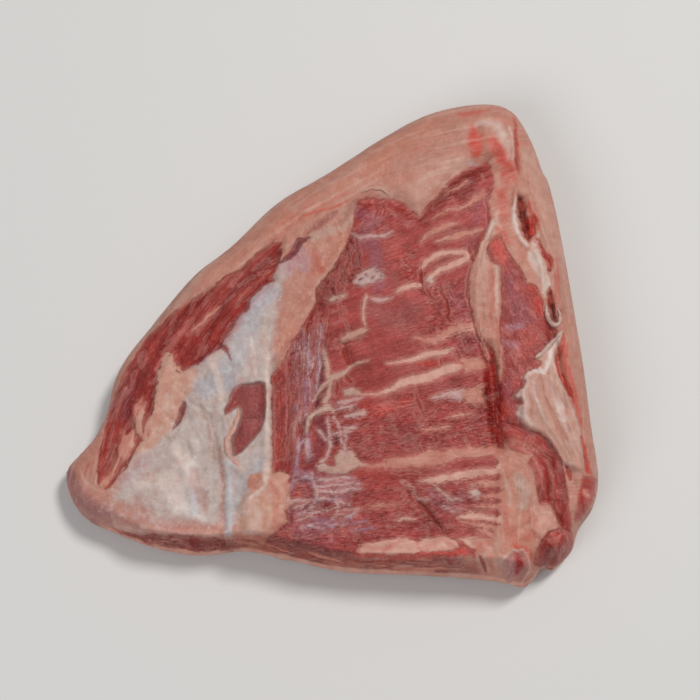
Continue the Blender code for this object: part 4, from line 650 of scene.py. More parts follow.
MEAT_TINTS = (
    ("ember", 0.6, 3, ((84, 41, 1.6), (87.6, 42, 2), (89, 37, 2))),
    ("deep_red", 0.6, 1.2, ((81.6, 39, 0.4), (82.4, 34.6, 0.7), (85, 31.6, 0.6), (88, 31.4, 0.4))),
    # trough and tongue
    ("lean_bright", 0.6, 5, ((-36, 34, 2), (-50, 20, 3), (-66, 8, 3), (-84, -4, 3), (-98, -22, 3))),
    ("deep_red", 0.75, 1.6, ((-50, 21, 0.6), (-57, 12, 1.2), (-61, 2, 1.4), (-65, -10, 1.2), (-68, -18, 0.6))),
    ("deep_red", 0.6, 2.5, ((-80, -22, 1), (-78, -12, 2), (-86, -8, 1.5), (-96, -18, 2), (-98, -36, 1.5))),
    ("fat", 0.45, 2.4, ((-104, -12, 0.6), (-108, -24, 1.8), (-110, -38, 1.6), (-113, -50, 0.8))),
    ("lilac", 0.45, 1.8, ((-100, -14, 0.4), (-104.5, -24, 1.0), (-106, -38, 1.0), (-110, -54, 0.5))),
    ("fat", 0.45, 2.0, ((-92, -2, 0.4), (-84, 6, 0.8), (-70, 15.5, 0.8), (-56, 24, 0.5), (-44, 35, 0.3))),
    ("deep_red", 0.9, 1.6, ((-97, -10, 0.4), (-99, -20, 1.0), (-101.4, -30, 1.4), (-104.4, -40, 1.0),
        (-104.6, -48, 1.0), (-102, -57, 0.8))),
    ("deep_red", 0.8, 1.4, ((-93, -20, 0.6), (-92.6, -32, 1.2), (-94.6, -42, 0.8), (-96, -54, 0.4))),
    ("deep_red", 0.6, 1.2, ((-104, -50, 0.4), (-108, -62, 0.6), (-112, -74, 0.6))),
    ("fat", 0.3, 1.6, ((-113.5, -56, 0.4), (-115, -66, 0.8), (-116, -76, 0.5))),
    ("crimson", 0.8, 4, ((-112, -50, 3), (-114, -64, 3), (-114, -78, 2))),
    ("orange_red", 0.55, 3, ((-118, -60, 1), (-118, -72, 1.4), (-116, -82, 2))),
    ("deep_red", 0.6, 1.5, ((-103, -66, 0.6), (-108, -75, 1.0), (-111, -81, 0.6))),
    # window and strip
    ("crimson", 0.7, 1.4, ((-37, -32, 0.6), (-34, -34, 0.8), (-34, -48, 0.8), (-36, -57, 0.6))),
    ("orange_red", 0.45, 1.5, ((-54, -46.5, 1.2), (-50, -42, 1.5))),
    ("crimson", 0.9, 2.5, ((-29, -28, 2), (-27, -50, 3.2), (-26, -78, 3.4))),
    ("orange_red", 0.4, 2, ((-29, -58, 1.2), (-28, -76, 1.6))),
    ("deep_red", 0.8, 0.9, ((-30.2, -28, 0.5), (-29.8, -54, 0.7), (-29.4, -79, 0.5))),
    ("lean_violet", 0.9, 3, ((-20, -12, 2), (-16, -30, 3), (-14, -52, 3))),
    ("plum", 0.9, 3, ((-15, -12, 2.4), (-16, -34, 3))),
    ("crimson", 0.4, 3, ((-15, -14, 2), (-16, -34, 2.4))),
    ("lilac", 0.25, 3, ((-8, -6, 2), (-9, -24, 2), (-9, -44, 3))),
    ("plum", 0.95, 3, ((-6, -20, 2), (-5, -34, 3), (-7, -46, 2), (-4, -62, 4), (2, -62, 3))),
    ("plum", 0.7, 2.5, ((-7, -66, 3), (-13, -86, 4), (-4, -97, 3))),
    ("crimson", 0.6, 2, ((7, -17, 2.4), (10, -26, 2))),
    ("lilac", 0.65, 3, ((-14, -80, 3), (-6, -84, 3), (4, -84, 4), (12, -85, 3), (-2, -90, 4), (8, -90, 3))),
    ("lilac", 0.6, 4, ((-18, -98, 3), (-10, -100, 4), (-16, -108, 4), (0, -104, 3))),
    ("lean_violet", 0.6, 5, ((-20, -104, 5), (-4, -110, 5))),
    # sliver and middle
    ("deep_red", 0.55, 2.5, ((10, 46, 1), (4, 36, 2), (-3, 25, 2), (-6, 16, 2))),
    ("lilac", 0.5, 4, ((14, 58, 3), (20, 54, 4), (18, 46, 4), (22, 36, 4), (24, 18, 3))),
    ("crimson", 0.7, 3, ((20, 66, 2), (26, 62, 3), (36, 63, 3), (44, 57, 2))),
    ("lean_dim", 0.75, 8, ((22, 4, 5), (32, 0, 7), (40, 6, 5), (34, 22, 4))),
    ("lean_bright", 0.5, 6, ((30, 40, 4), (36, 28, 4), (42, 14, 4))),
    ("orange_red", 0.5, 3, ((36, 37, 2), (40, 30, 3), (40, 24, 2.4))),
    ("deep_red", 0.6, 1.5, ((46, 26, 0.6), (46, 17, 0.8), (52, 12, 0.6), (60, 2, 0.7))),
    ("lean_violet", 0.7, 6, ((62, 12, 4), (68, 0, 4), (70, -12, 5), (76, 72, 2), (80, 60, 3))),
    ("deep_red", 0.8, 5, ((56, 65, 3), (66, 73, 6), (72, 79, 5), (80, 84, 4))),
    ("ember", 0.6, 3, ((45, -23, 1.2), (51, -24, 1.8), (56, -24, 1.0))),
    ("ember", 0.45, 3, ((16, -46, 2), (24, -49, 3), (40, -42, 2))),
    ("crimson", 0.5, 4, ((14, -80, 2), (30, -82, 3), (44, -78, 2))),
    ("deep_red", 0.5, 1.6, ((25, -57.5, 0.5), (34, -58, 0.7), (40, -56, 0.5))),
    ("deep_red", 0.6, 1.2, ((41, -46, 0.4), (46, -52, 0.6))),
    ("plum", 0.55, 4, ((52, -86, 2), (58, -94, 4), (66, -94, 4))),
    ("lilac", 0.5, 2.5, ((50, -90, 1.4), (57, -96, 2), (64, -98, 2))),
    ("gash", 0.75, 1.4, ((41, -90, 0.4), (46, -95, 0.7), (51, -101, 0.9), (57, -110, 0.8))),
    ("deep_red", 0.6, 2, ((48, -100, 1), (53, -108, 1.4))),
    ("ember", 0.7, 2, ((10, -119.4, 0.6), (30, -121.5, 1), (50, -121, 1.2), (66, -119, 1.6))),
    ("rust", 0.6, 4, ((-30, -111, 2), (-10, -116, 3), (10, -119, 2))),
    # groove and right muscle
    ("cut_red", 1.0, 2.0, ((76.6, -8), (79.6, -20), (77.6, -34), (78.8, -50), (82.4, -65), (90, -67), (90, -57),
        (89, -45), (88, -30), (87.4, -18), (82, -12))),
    ("gash", 0.6, 1.6, ((79.6, -22, 0.4), (79, -36, 0.8), (80.4, -50, 0.8), (84.4, -63, 0.5))),
    ("wound", 0.7, 1.2, ((83.6, -22, 0.4), (84.6, -32, 0.8), (83.6, -44, 0.6), (86, -58, 0.8))),
    ("orange_red", 0.6, 1.6, ((86.5, -14, 0.6), (87.4, -28, 0.8), (87.6, -44, 0.8), (89.4, -60, 1.0))),
    ("orange_red", 0.75, 3, ((86, 40, 2), (90, 36, 2.4), (88, 32, 1.6))),
    ("orange_red", 0.85, 2.5, ((103, 18, 1.6), (107, 14, 2.4), (108, 6, 2.6))),
    ("lean_violet", 0.9, 4, ((92, 24, 2), (96, 12, 5), (98, 2, 5))),
    ("lilac_pale", 0.6, 3, ((92, -4, 2), (98, -3, 1.6))),
    ("lilac_pale", 0.5, 3, ((90, -12, 2), (95, -14, 2.4))),
    ("lean_bright", 0.6, 5, ((104, -4, 4), (102, -14, 4), (96, -24, 4))),
    ("lean_violet", 0.7, 4, ((90, -36, 3), (93, -44, 3))),
    ("orange_red", 0.45, 4, ((90, -56, 3), (96, -62, 3), (104, -64, 3))),
    ("crimson", 1.0, 4, ((96, -64, 3), (106, -70, 5), (112, -80, 6), (115, -94, 6), (117, -104, 4))),
    ("rib", 0.7, 6, ((90, -63, 3), (98, -67, 3.5), (104, -70, 2))),
    ("lean_pink", 0.6, 1.6, ((112, -66, 0.7), (115, -76, 0.8), (117, -90, 0.8), (119, -102, 0.6))),
    ("gash", 0.6, 1.0, ((107, -68, 0.4), (112, -73, 0.7), (111.4, -84, 0.6), (114, -98, 0.6), (116, -109, 0.5))),
    ("lean_pink", 0.6, 1.2, ((106, -120, 0.5), (112, -112, 0.9), (118, -108, 0.6))),
    ("wound", 1.0, 2.0, ((93, -120.5, 1.2), (94.8, -124.5, 2.2), (93.6, -128, 1.2))),
    ("deep_red", 0.9, 1.4, ((93.6, -122, 0.4), (94.2, -124.5, 0.8), (93.4, -127.5, 0.4))),
    ("wound", 0.8, 3.0, ((106, -120, 2), (112, -114, 4), (119, -112, 3))),
    ("wound", 0.7, 1.4, ((109, -117, 0.6), (112.6, -111, 1.0), (115, -107, 0.4))),
    ("wound", 0.6, 1.4, ((115, -119, 0.5), (117.4, -113, 0.9), (119, -108, 0.4))),
    ("rib", 0.65, 1.2, ((110.6, -122, 0.4), (113.6, -115, 0.8), (115.6, -108.6, 0.5))),
    ("rib", 0.5, 1.2, ((107, -119, 0.3), (109.6, -113, 0.5), (112, -109, 0.3))),
    ("rib", 0.5, 1.2, ((116, -121, 0.3), (118.6, -115, 0.6), (120, -110, 0.4))),
    ("rib", 0.8, 1.6, ((108.4, -72, 0.5), (112.4, -80, 0.9), (112.6, -90, 0.8), (115.6, -98, 0.6))),
    ("rib", 0.7, 1.4, ((103, -71, 0.4), (106.4, -78, 0.7), (107.4, -88, 0.5))),
    ("lilac", 0.5, 3.0, ((90, -124, 1.2), (91, -128, 1.2))),
    ("rib_pale", 0.7, 1.0, ((89.6, -127.6, 0.3), (90, -123.4, 0.5), (92.4, -120.6, 0.4))),
    ("rib_pale", 0.8, 2, ((129, -88, 1.4), (131, -89, 1.2))),
    ("orange_red", 0.6, 2, ((127, -82, 1.0), (131, -82.6, 1.4), (134, -85, 1.0))),
    ("wound", 0.8, 1.4, ((126.6, -86, 0.5), (128, -93, 1.0), (130.4, -98, 0.8))),
    ("deep_red", 0.7, 2, ((-104, -106, 1), (-84, -110.5, 1.8), (-66, -112.4, 1.8))),
)


# How wet the surface is: amount, where.
WET = (
    (1.0, SKIN),
    (0.9, ((-30, -14, 4), (-16, -30, 7), (-10, -60, 9), (-6, -92, 12))),
    (0.9, ((-84, -66, 5), (-73, -88, 7), (-56, -96, 5))),
    (0.9, ((-26, -18, 3), (-38, -12, 4))),
    (0.6, ((58, -92, 9), (98, 0, 9))),
    (0.7, ((84, -50, 3), (100, -66, 4), (112, -76, 5), (116, -96, 6), (112, -114, 6))),
    (0.6, ((8, 30, 6), (12, 56, 5))),
)

# How rugged the surface is: amount, where.
RUGGED = (
    (0.9, ((-4, -42), (30, -44), (62, -36), (84, -34), (84, -66), (60, -66), (30, -71), (14, -72), (0, -66))),
    (0.8, ((-30, -82), (84, -80), (84, -112), (60, -111), (0, -118), (-30, -112))),
    (0.9, SLIVER),
    (0.6, ((12, 66), (30, 68), (48, 58), (60, 76), (82, 90), (84, 62), (60, 56), (30, 50), (14, 40))),
    (0.9, ((48, 20), (60, 22), (84, 16), (80, -20), (64, -22), (50, -8))),
    (0.42, RIGHT_MUSCLE),
    (0.15, ((86, -56, 3), (100, -66, 5), (112, -76, 6), (116, -96, 7), (114, -114, 7))),
    (0.6, ((-31, -26), (-20, -9), (-8, 8), (0, 8), (-4, -44), (-20, -80), (-31, -81))),
    (0.25, TROUGH),
    (1.0, ((40, 36, 4), (40, 24, 4), (47, 18, 3))),
    (0.9, ((13, 20, 4), (24, 25, 4))),
    (0.8, ((100, 66, 3), (104, 54, 4), (104, 46, 3))),
    (0.8, ((109, 41, 2), (114, 31, 3), (114, 16, 3), (115, 4, 2))),
    (0.7, ((92, -80, 4), (95, -94, 6), (96, -108, 6))),
    (0.7, ((-104, -110, 3), (-70, -113, 4), (-30, -112, 3), (20, -124, 4), (80, -124, 4))),
)

# Fine bands and strands of connective tissue: colour, thickness, path with half widths.
BANDS = (
    ("web", 0.4, ((-2.1, -52.4, 0.6), (-1.2, -57.4, 0.7), (-0.5, -61.8, 0.7), (-1.2, -66.8, 0.8),
        (-2.4, -71.2, 0.7), (-5, -73, 0.7))),
    ("web", 0.4, ((-6.8, -57.4, 0.5), (-4.3, -60.6, 0.6), (-1.8, -63.1, 0.6), (-0.6, -65, 0.7))),
    ("web", 0.4, ((0.7, -51.8, 0.5), (3.8, -54.3, 0.6), (4.4, -59.3, 0.6), (5, -63.7, 0.6), (6.3, -66.8, 0.8),
        (7.5, -68, 0.9))),
    ("web", 0.5, ((7.3, -59.3, 0.4), (7.3, -63, 0.5), (6.6, -66.2, 0.6))),
    ("web", 0.4, ((1.3, -59.6, 0.4), (8.2, -59.3, 0.4))),
    ("cream", 0.4, ((-11.8, -66, 0.5), (-12, -56.8, 0.8), (-11.2, -51.8, 1.0), (-8, -49.2, 1.0),
        (-4.3, -46.7, 1.3), (-2, -46, 2.0), (-0.4, -46.6, 1.5), (0.6, -48.6, 0.8))),
    ("cream", 0.4, ((-3, -43, 1.3), (-0.9, -38.5, 0.9), (-0.5, -33.4, 0.8), (-1.8, -29.5, 1.0), (-3, -20.5, 1.2),
        (-3.7, -16, 0.8))),
    ("cream", 0.4, ((-9.5, -42, 0.4), (-6.8, -38.4, 0.8), (-5.5, -35.9, 0.9), (-1.8, -32.7, 1.0),
        (0.7, -30.2, 1.4), (3.6, -29, 1.5), (7.5, -26.4, 1.0), (11.9, -23.7, 0.7), (18.7, -21.8, 0.4))),
    ("web", 0.5, ((1.9, -46.7, 0.6), (5.7, -45.7, 0.8), (12, -45.2, 0.5))),
    ("web", 0.5, ((3, -43.6, 0.6), (8, -42.9, 0.9), (13.8, -41.9, 0.7), (16, -41, 0.4))),
    ("web", 0.5, ((-9.9, -79, 0.7), (-9.4, -82.3, 0.9), (-8.4, -85.4, 1.0), (-7.4, -89.8, 1.1),
        (-7.4, -92.6, 0.9))),
    ("lilac_pale", 0.5, ((-19, -84, 0.5), (-16.4, -81.6, 0.7), (-12.6, -80.6, 0.8), (-9.4, -82.3, 0.8))),
    ("web", 0.5, ((-22, -93.6, 0.6), (-16, -92.6, 0.8), (-11, -92.4, 0.7), (-7.4, -92.8, 0.9), (-3.7, -92.2, 0.8),
        (2.6, -92.8, 0.6), (8.8, -94.7, 0.4))),
    ("web", 0.4, ((-6.8, -82.2, 0.6), (2, -82.6, 0.9), (12, -82, 0.5))),
    ("web", 0.5, ((-6.4, -85.4, 0.5), (4, -85.2, 0.8), (14.6, -84.8, 0.4))),
    ("web", 0.5, ((-5.4, -88.4, 0.5), (4, -88.2, 0.9), (15, -87.2, 0.4))),
    ("lilac_pale", 0.5, ((1.6, -92.6, 0.5), (3.6, -96.6, 0.6), (2.2, -101.6, 0.5), (-3.4, -104.4, 0.5),
        (-9, -101.6, 0.5), (-9.6, -96, 0.5), (-7.6, -92.8, 0.6))),
    ("lilac", 0.6, ((-13, -62, 0.6), (-16.4, -66, 1.2), (-17.6, -73, 1.3), (-18.8, -79.5, 1.2),
        (-20.5, -87.5, 0.6))),
    ("lilac_pale", 0.4, ((-14.6, -30, 0.4), (-13.6, -40, 0.6), (-12.6, -50, 0.4))),
    ("lilac_pale", 0.4, ((-12.2, -8, 0.3), (-12.6, -18, 0.5), (-11.6, -30, 0.5), (-10.6, -42, 0.4))),
    ("lilac_pale", 0.4, ((-5.6, -2, 0.3), (-6.6, -12, 0.6), (-6.2, -24, 0.5), (-8, -36, 0.4))),
    ("web", 0.5, ((8, 51.5, 0.6), (11, 47.5, 0.6), (14, 45, 0.6), (20, 45.5, 1.2), (24, 45.4, 0.6),
        (27, 46.2, 0.9), (31.5, 48, 0.4))),
    ("skin_edge", 0.4, ((18, 12.5, 0.4), (17.4, 10, 0.6), (16.4, 6.5, 0.5), (16.2, 2, 0.5), (16, -1, 0.5),
        (17.4, -4.5, 0.6))),
    ("skin_pink", 0.5, ((52, -86, 0.4), (56, -90, 0.6), (60, -93, 0.7), (66, -93, 0.5))),
    ("skin_pink", 0.5, ((57, -96, 0.4), (61, -99, 0.7), (66, -98, 0.5))),
    ("skin_pink", 0.5, ((36, -84, 0.4), (41, -87.4, 0.6), (43.4, -92, 0.6), (49, -93, 0.4))),
    ("skin_edge", 0.5, ((34, -102.5, 0.3), (38.5, -102, 0.8), (42, -102.5, 0.3))),
)

# Cords that stand clear of the surface: colour, flatness, lift, and a path of points with half widths.
CORDS = (
    ("chalk", 0.9, 0.9, ((111.2, 9, 0.7), (111.6, 4, 1.1), (114.2, -0.5, 1.1), (117.3, -1.2, 1.1),
        (118.5, 2.5, 0.9), (117.6, 7.5, 0.4))),
    ("chalk", 0.7, 0.5, ((120, -4.5, 0.4), (117, -7.5, 0.8), (113.5, -11.5, 1.0), (110.5, -15, 1.2),
        (107, -18.5, 1.2), (104.5, -20.5, 0.8))),
    ("fat_pale", 0.6, 0.0, ((16, 71, 0.5), (21, 73.5, 1.2), (27.5, 72, 1.1), (30.5, 69, 0.4))),
    ("skin_edge", 0.5, 0.0, ((-48, -45, 0.5), (-48, -50, 1.1), (-50.5, -57, 1.3), (-53, -62.5, 1.4),
        (-52, -69.5, 1.2), (-48, -75, 0.6))),
)


# ---- plan maths ----------------------------------------------------------------------------------------------


def catmull_rom(a, b, c, d, steps):
    """Rows from b on towards c, for each four rows in line: the cubic through b and c whose slopes there are
    half of c - a and half of d - b.
    """
    t = np.linspace(0, 1, steps, endpoint=False)[None, :, None]
    bend = (2 * a - 5 * b + 4 * c - d) * t**2 + (3 * b - a - 3 * c + d) * t**3
    return (0.5 * (2 * b + (c - a) * t + bend)).reshape(-1, b.shape[-1])


def evenly(path, count, closed):
    """Evenly spaced rows along a path, without its last one where that closes it."""
    along = np.concatenate([[0], np.cumsum(np.hypot(*np.diff(path[:, :2], axis=0).T))])
    wanted = np.linspace(0, along[-1], count, endpoint=not closed)
    return np.stack([np.interp(wanted, along, path[:, k]) for k in range(path.shape[1])], 1)


def closed_curve(points, count):
    """Evenly spaced points on the closed Catmull-Rom curve through the given points."""
    here = np.array(points, float)
    curve = catmull_rom(*(np.roll(here, k, 0)[:, None] for k in (1, 0, -1, -2)), CLOSED_STEPS)
    return evenly(np.vstack([curve, curve[:1]]), count, closed=True)


def open_curve(points, count):
    """Evenly spaced rows on the open Catmull-Rom curve through rows of any width, ends included."""
    rows = np.array(points, float)
    rows = np.vstack([2 * rows[0] - rows[1], rows, 2 * rows[-1] - rows[-2]])
    curve = catmull_rom(*(rows[k : len(rows) - 3 + k, None] for k in range(4)), OPEN_STEPS)
    return evenly(np.vstack([curve, rows[-2]]), count, closed=False)


def seen_from_centre(curve, towards):
    """The points of a closed curve that lie, seen from the centre, in line with the given points."""
    rays = curve - CENTRE
    angle = np.unwrap(np.arctan2(rays[:, 1], rays[:, 0])) % (2 * np.pi)
    order = np.argsort(angle)
    rays, reach = towards - CENTRE, np.hypot(*rays.T)[order]
    wanted = np.arctan2(rays[:, 1], rays[:, 0])
    length = np.interp(wanted % (2 * np.pi), angle[order], reach, period=2 * np.pi)
    return CENTRE + length[:, None] * np.stack([np.cos(wanted), np.sin(wanted)], 1)


def pulled_in(curve, distance):
    """The curve with each point moved the given distance towards the centre."""
    rays = CENTRE - curve
    return curve + rays / np.hypot(*rays.T)[:, None] * np.reshape(distance, (-1, 1))


def smooth_step(value):
    """0 below 0, 1 above 1, and between them three times the square less twice the cube."""
    value = np.clip(value, 0, 1)
    return value * value * (3 - 2 * value)


def blended(points, rows, reach):
    """Each named value at each point: the rows' values, weighted by a bell curve of their distance."""
    rows = np.array(rows, float)
    away = np.hypot(points[:, :1] - rows[:, 0], points[:, 1:] - rows[:, 1])
    weight = np.exp(-0.5 * (away / reach) ** 2) + 1e-9
    return (weight @ rows[:, 2:] / weight.sum(1, keepdims=True)).T


def depth_in_stroke(points, path):
    """How far each point lies inside a stroke: the half width at the nearest place, less the distance to it."""
    rows = np.array(path, float)
    best = np.full(len(points), -np.inf)
    for start, end in zip(rows[:-1], rows[1:]):
        run = end[:2] - start[:2]
        share = np.clip((points - start[:2]) @ run / max(run @ run, 1e-9), 0, 1)
        away = np.hypot(points[:, 0] - start[0] - share * run[0], points[:, 1] - start[1] - share * run[1])
        best = np.maximum(best, start[2] + share * (end[2] - start[2]) - away)
    return best


def depth_in_outline(points, outline):
    """How far each point lies inside a closed outline: the distance to its edge, negative outside it."""
    a = np.array(outline, float)
    b = np.roll(a, -1, 0)
    stroke = np.column_stack([np.vstack([a, a[:1]]), np.zeros(len(a) + 1)])
    away = -depth_in_stroke(points, stroke)
    inside = np.zeros(len(points), bool)
    for (ax, ay), (bx, by) in zip(a, b):
        if ay != by:
            spans = (ay > points[:, 1]) != (by > points[:, 1])
            inside ^= spans & (points[:, 0] < ax + (points[:, 1] - ay) * (bx - ax) / (by - ay))
    return np.where(inside, away, -away)


def depth_in(points, shape, reach):
    """Depth inside a stroke or an outline, worked out only within reach of it, and minus the reach elsewhere."""
    rows = np.array(shape, float)
    half = rows[:, 2].max() if rows.shape[1] == 3 else 0.0
    low, high = rows[:, :2].min(0) - half - reach, rows[:, :2].max(0) + half + reach
    near = np.flatnonzero(((points > low) & (points < high)).all(1))
    depth = np.full(len(points), -float(reach))
    if len(near):
        measure = depth_in_stroke if rows.shape[1] == 3 else depth_in_outline
        depth[near] = np.maximum(measure(points[near], rows), -reach)
    return depth


def lattice_noise(x, y, seed):
    """Smooth random values from -1 to 1: random numbers on whole places, blended by 6t^5 - 15t^4 + 10t^3."""
    table = np.random.default_rng(seed).uniform(-1, 1, (NOISE_TABLE, NOISE_TABLE))
    left, low = np.floor(x).astype(int), np.floor(y).astype(int)
    u, v = x - left, y - low
    u, v = u**3 * (u * (6 * u - 15) + 10), v**3 * (v * (6 * v - 15) + 10)
    right, high = (left + 1) % NOISE_TABLE, (low + 1) % NOISE_TABLE
    left, low = left % NOISE_TABLE, low % NOISE_TABLE
    a, b, c, d = table[left, low], table[right, low], table[left, high], table[right, high]
    return a + u * (b - a) + v * (c + u * (d - c) - a - u * (b - a))


def rough(points, size, seed, octaves=3):
    """Layers of lattice noise, each half the size and a little over half the height of the one before."""
    total, turn = np.zeros(len(points)), np.array(((0.8, -0.6), (0.6, 0.8)))
    spot, share = points / size, 1.0
    for k in range(octaves):
        total += share * lattice_noise(spot[:, 0], spot[:, 1], seed + k)
        spot, share = 2.03 * spot @ turn + 7.1, share * 0.55
    return total


def wandering(points, amount, size, seed):
    """The points moved about at random, so that an edge measured from them comes out uneven."""
    return points + amount * np.stack([rough(points, size, seed, 3), rough(points, size, seed + 11, 3)], 1)


# ---- the top surface -----------------------------------------------------------------------------------------

RIM = closed_curve(OUTLINE, RIM_POINTS)


def linear(name):
    """A named colour as linear light, 0 to 1."""
    value = np.array(PALETTE[name]) / 255
    return np.where(value < 0.04045, value / 12.92, ((value + 0.055) / 1.055) ** 2.4)


def broad_height(points, from_edge):
    """The shared form: from the widest line up a rounded shoulder to the swell, its forms, lines and waves."""
    (swell,) = blended(points, SWELL, SWELL_REACH)
    width, start, roundness = blended(points, SHOULDER, EDGE_REACH)
    relief = np.zeros(len(points))
    for rise, softness, outline in FORMS:
        relief += rise * smooth_step(0.5 + depth_in(points, outline, 2 * softness) / (2 * softness))
    for rise, half_width, path in LINES:
        stroke = [(x, y, 0.0) for x, y in path]
        relief += rise * np.exp(-((depth_in(points, stroke, 4 * half_width) / half_width) ** 2))
    for rise, length, degrees, phase in WAVES:
        turn = np.radians(degrees)
        relief += rise * np.sin(2 * np.pi * (points @ (np.cos(turn), np.sin(turn))) / length + phase)
    left = 1 - np.clip(from_edge / width, 0, 1)
    rise = (1 - left**roundness) ** (1 / roundness)
    return start + (swell + relief * smooth_step(from_edge / RELIEF_FADE) - start) * rise


def fibre_places(points):
    """Where each point lies along and across its fibres, counted in bundles, how deep their furrows are, and
    which way they run.
    """
    place = np.zeros((len(points), 3))
    furrow = np.zeros(len(points))
    course = np.zeros((len(points), 2))
    for number, (kind, x, y, depth, across, along, outline) in enumerate(FLOWS):
        here = np.full(len(points), True) if outline is None else depth_in(points, outline, 1.0) > 0
        ray = points[here] - (x, y)
        reach, angle = np.hypot(*ray.T), np.arctan2(ray[:, 1], ray[:, 0]) % (2 * np.pi)
        middle = np.mean(points if outline is None else np.array(outline), 0)
        turned = angle * np.hypot(*(middle - (x, y)))
        length, width = (reach, turned) if kind == "fan" else (turned, reach)
        place[here] = np.stack([length / along, width / across, np.full(len(reach), 7.3 * number)], 1)
        furrow[here] = depth
        ray /= reach[:, None]
        course[here] = ray if kind == "fan" else np.stack([-ray[:, 1], ray[:, 0]], 1)
    return place, furrow, course


def web_bands():
    """Fine bands of connective tissue at seeded places: by turns down the sheath and in loops below it, and
    then short fringes under the silverskin's front lip.
    """
    random = np.random.default_rng(17)
    bands = []
    for number in range(WEB_BANDS):
        low = number % 2
        x = random.uniform(-19, 11 if low else -9)
        y = random.uniform(-108, -94) if low else random.uniform(-82, -10)
        heading = (10 if low else 92) + random.uniform(-12, 12)
        bend = random.uniform(-12, 12) if low else random.uniform(-5, 5)
        width = random.uniform(0.35, 0.6)
        path = []
        for _ in range(random.integers(3, 7)):
            path.append((x, y, width * random.uniform(0.6, 1.3)))
            x += WEB_STEP * np.cos(np.radians(heading))
            y += WEB_STEP * np.sin(np.radians(heading))
            heading += bend
        bands.append((("lilac_pale", "skin_pink", "lilac")[random.integers(3)], 0.4, tuple(path)))
    for _ in range(LIP_FRINGES):
        x, y = random.uniform(-103, -76), random.uniform(-112.4, -109.4)
        bands.append(("skin_pink", 0.6, ((x, y, 0.35), (x + random.uniform(0.6, 1.6), y + 0.2, 0.5))))
    return tuple(bands)


def tapered(path, half_width):
    """A path as a stroke that is widest in its middle and thin at both ends."""
    rows = open_curve(path, 2 * len(path) + 1)
    share = 1 - np.abs(np.linspace(-1, 1, len(rows))) ** 3
    return np.column_stack([rows, half_width * (0.25 + 0.75 * share)])


def small_splits():
    """Short splits at seeded places, along the fibres there or across them."""
    random = np.random.default_rng(29)
    splits = []
    for count, length, half_width, across, outline in SPLITS:
        spots = random.uniform(np.min(outline, 0), np.max(outline, 0), (12 * count, 2))
        spots = spots[depth_in_outline(spots, outline) > 0.5][:count]
        for spot, (x, y) in zip(spots, fibre_places(spots)[2]):
            turn = random.uniform(-0.3, 0.3) + (np.pi / 2 if random.uniform() < across else 0)
            run = np.array((x * np.cos(turn) - y * np.sin(turn), x * np.sin(turn) + y * np.cos(turn)))
            run = run * length * random.uniform(0.3, 0.8)
            middle = spot + random.uniform(-0.5, 0.5, 2)
            half = half_width * random.uniform(0.35, 0.9)
            splits.append((SPLIT_DEPTH, half, ((spot - run, middle, spot + run),)))
    return tuple(splits)


def streaks(place, along, across, seed):
    """Noise stretched along the fibres: how often it turns in a bundle's length and in its width."""
    return lattice_noise(along * place[:, 0], across * place[:, 1] + place[:, 2], seed)


def tint(target, share, colour, gain=1.0):
    """Moves each point of the target its share of the way to a named colour, made brighter by the gain."""
    target += share[:, None] * (linear(colour) * gain - target)


def spread(points, rows, ground, softness):
    """An amount at each point: the ground's, and then each row's amount inside its place."""
    amounts = np.full(len(points), ground)
    for amount, shape in rows:
        amounts += smooth_step(0.5 + depth_in(points, shape, softness) / softness) * (amount - amounts)
    return amounts


def laid_tissues(drawn):
    """The colours of the meat and of the cover as TISSUES and the bands lay them, how far inside the cover
    each point is, how thick the cover is, and how far the bare meat is sunk.
    """
    count = len(drawn["torn"])
    meat, cover = np.tile(linear("lean"), (count, 1)), np.tile(linear("fat"), (count, 1))
    inside_cover, thickness, sunk = np.full(count, 6.0), np.full(count, 0.5), np.zeros(count)
    for kind, edge, colour, amount, shape in TISSUES:
        depth = depth_in(drawn[edge], shape, 6.0) * (0.75 if edge == "soft" else 1.0)
        near = smooth_step((depth + 2.2) / 2.0)
        if kind == "bare":
            inside_cover = np.minimum(inside_cover, -depth)
            tint(meat, near, colour)
            sunk += amount * smooth_step(0.5 + depth / 1.6)
        else:
            inside_cover = np.maximum(inside_cover, depth)
            tint(cover, near, colour)
            thickness += near * (amount - thickness)
    for colour, amount, path in BANDS + web_bands():
        depth = depth_in(drawn["torn"], path, 3.0)
        near = smooth_step((depth + 2.0) / 1.8)
        inside_cover = np.maximum(inside_cover, depth)
        tint(cover, near, colour)
        thickness += near * (amount - thickness)
    return meat, cover, inside_cover, thickness, sunk


def torn_open(torn):
    """How far inside a crack or a split each point is, and how far the surface sinks there."""
    tear, slump = np.full(len(torn), -FINISH_REACH), np.zeros(len(torn))
    for deep, half_width, paths in (*CRACKS, *small_splits()):
        for path in paths:
            depth = depth_in(torn, tapered(path, half_width), FINISH_REACH)
            tear = np.maximum(tear, depth)
            slump = np.maximum(slump, SLUMP_SHARE * deep * smooth_step(0.5 + depth / 1.2))
    return tear, slump


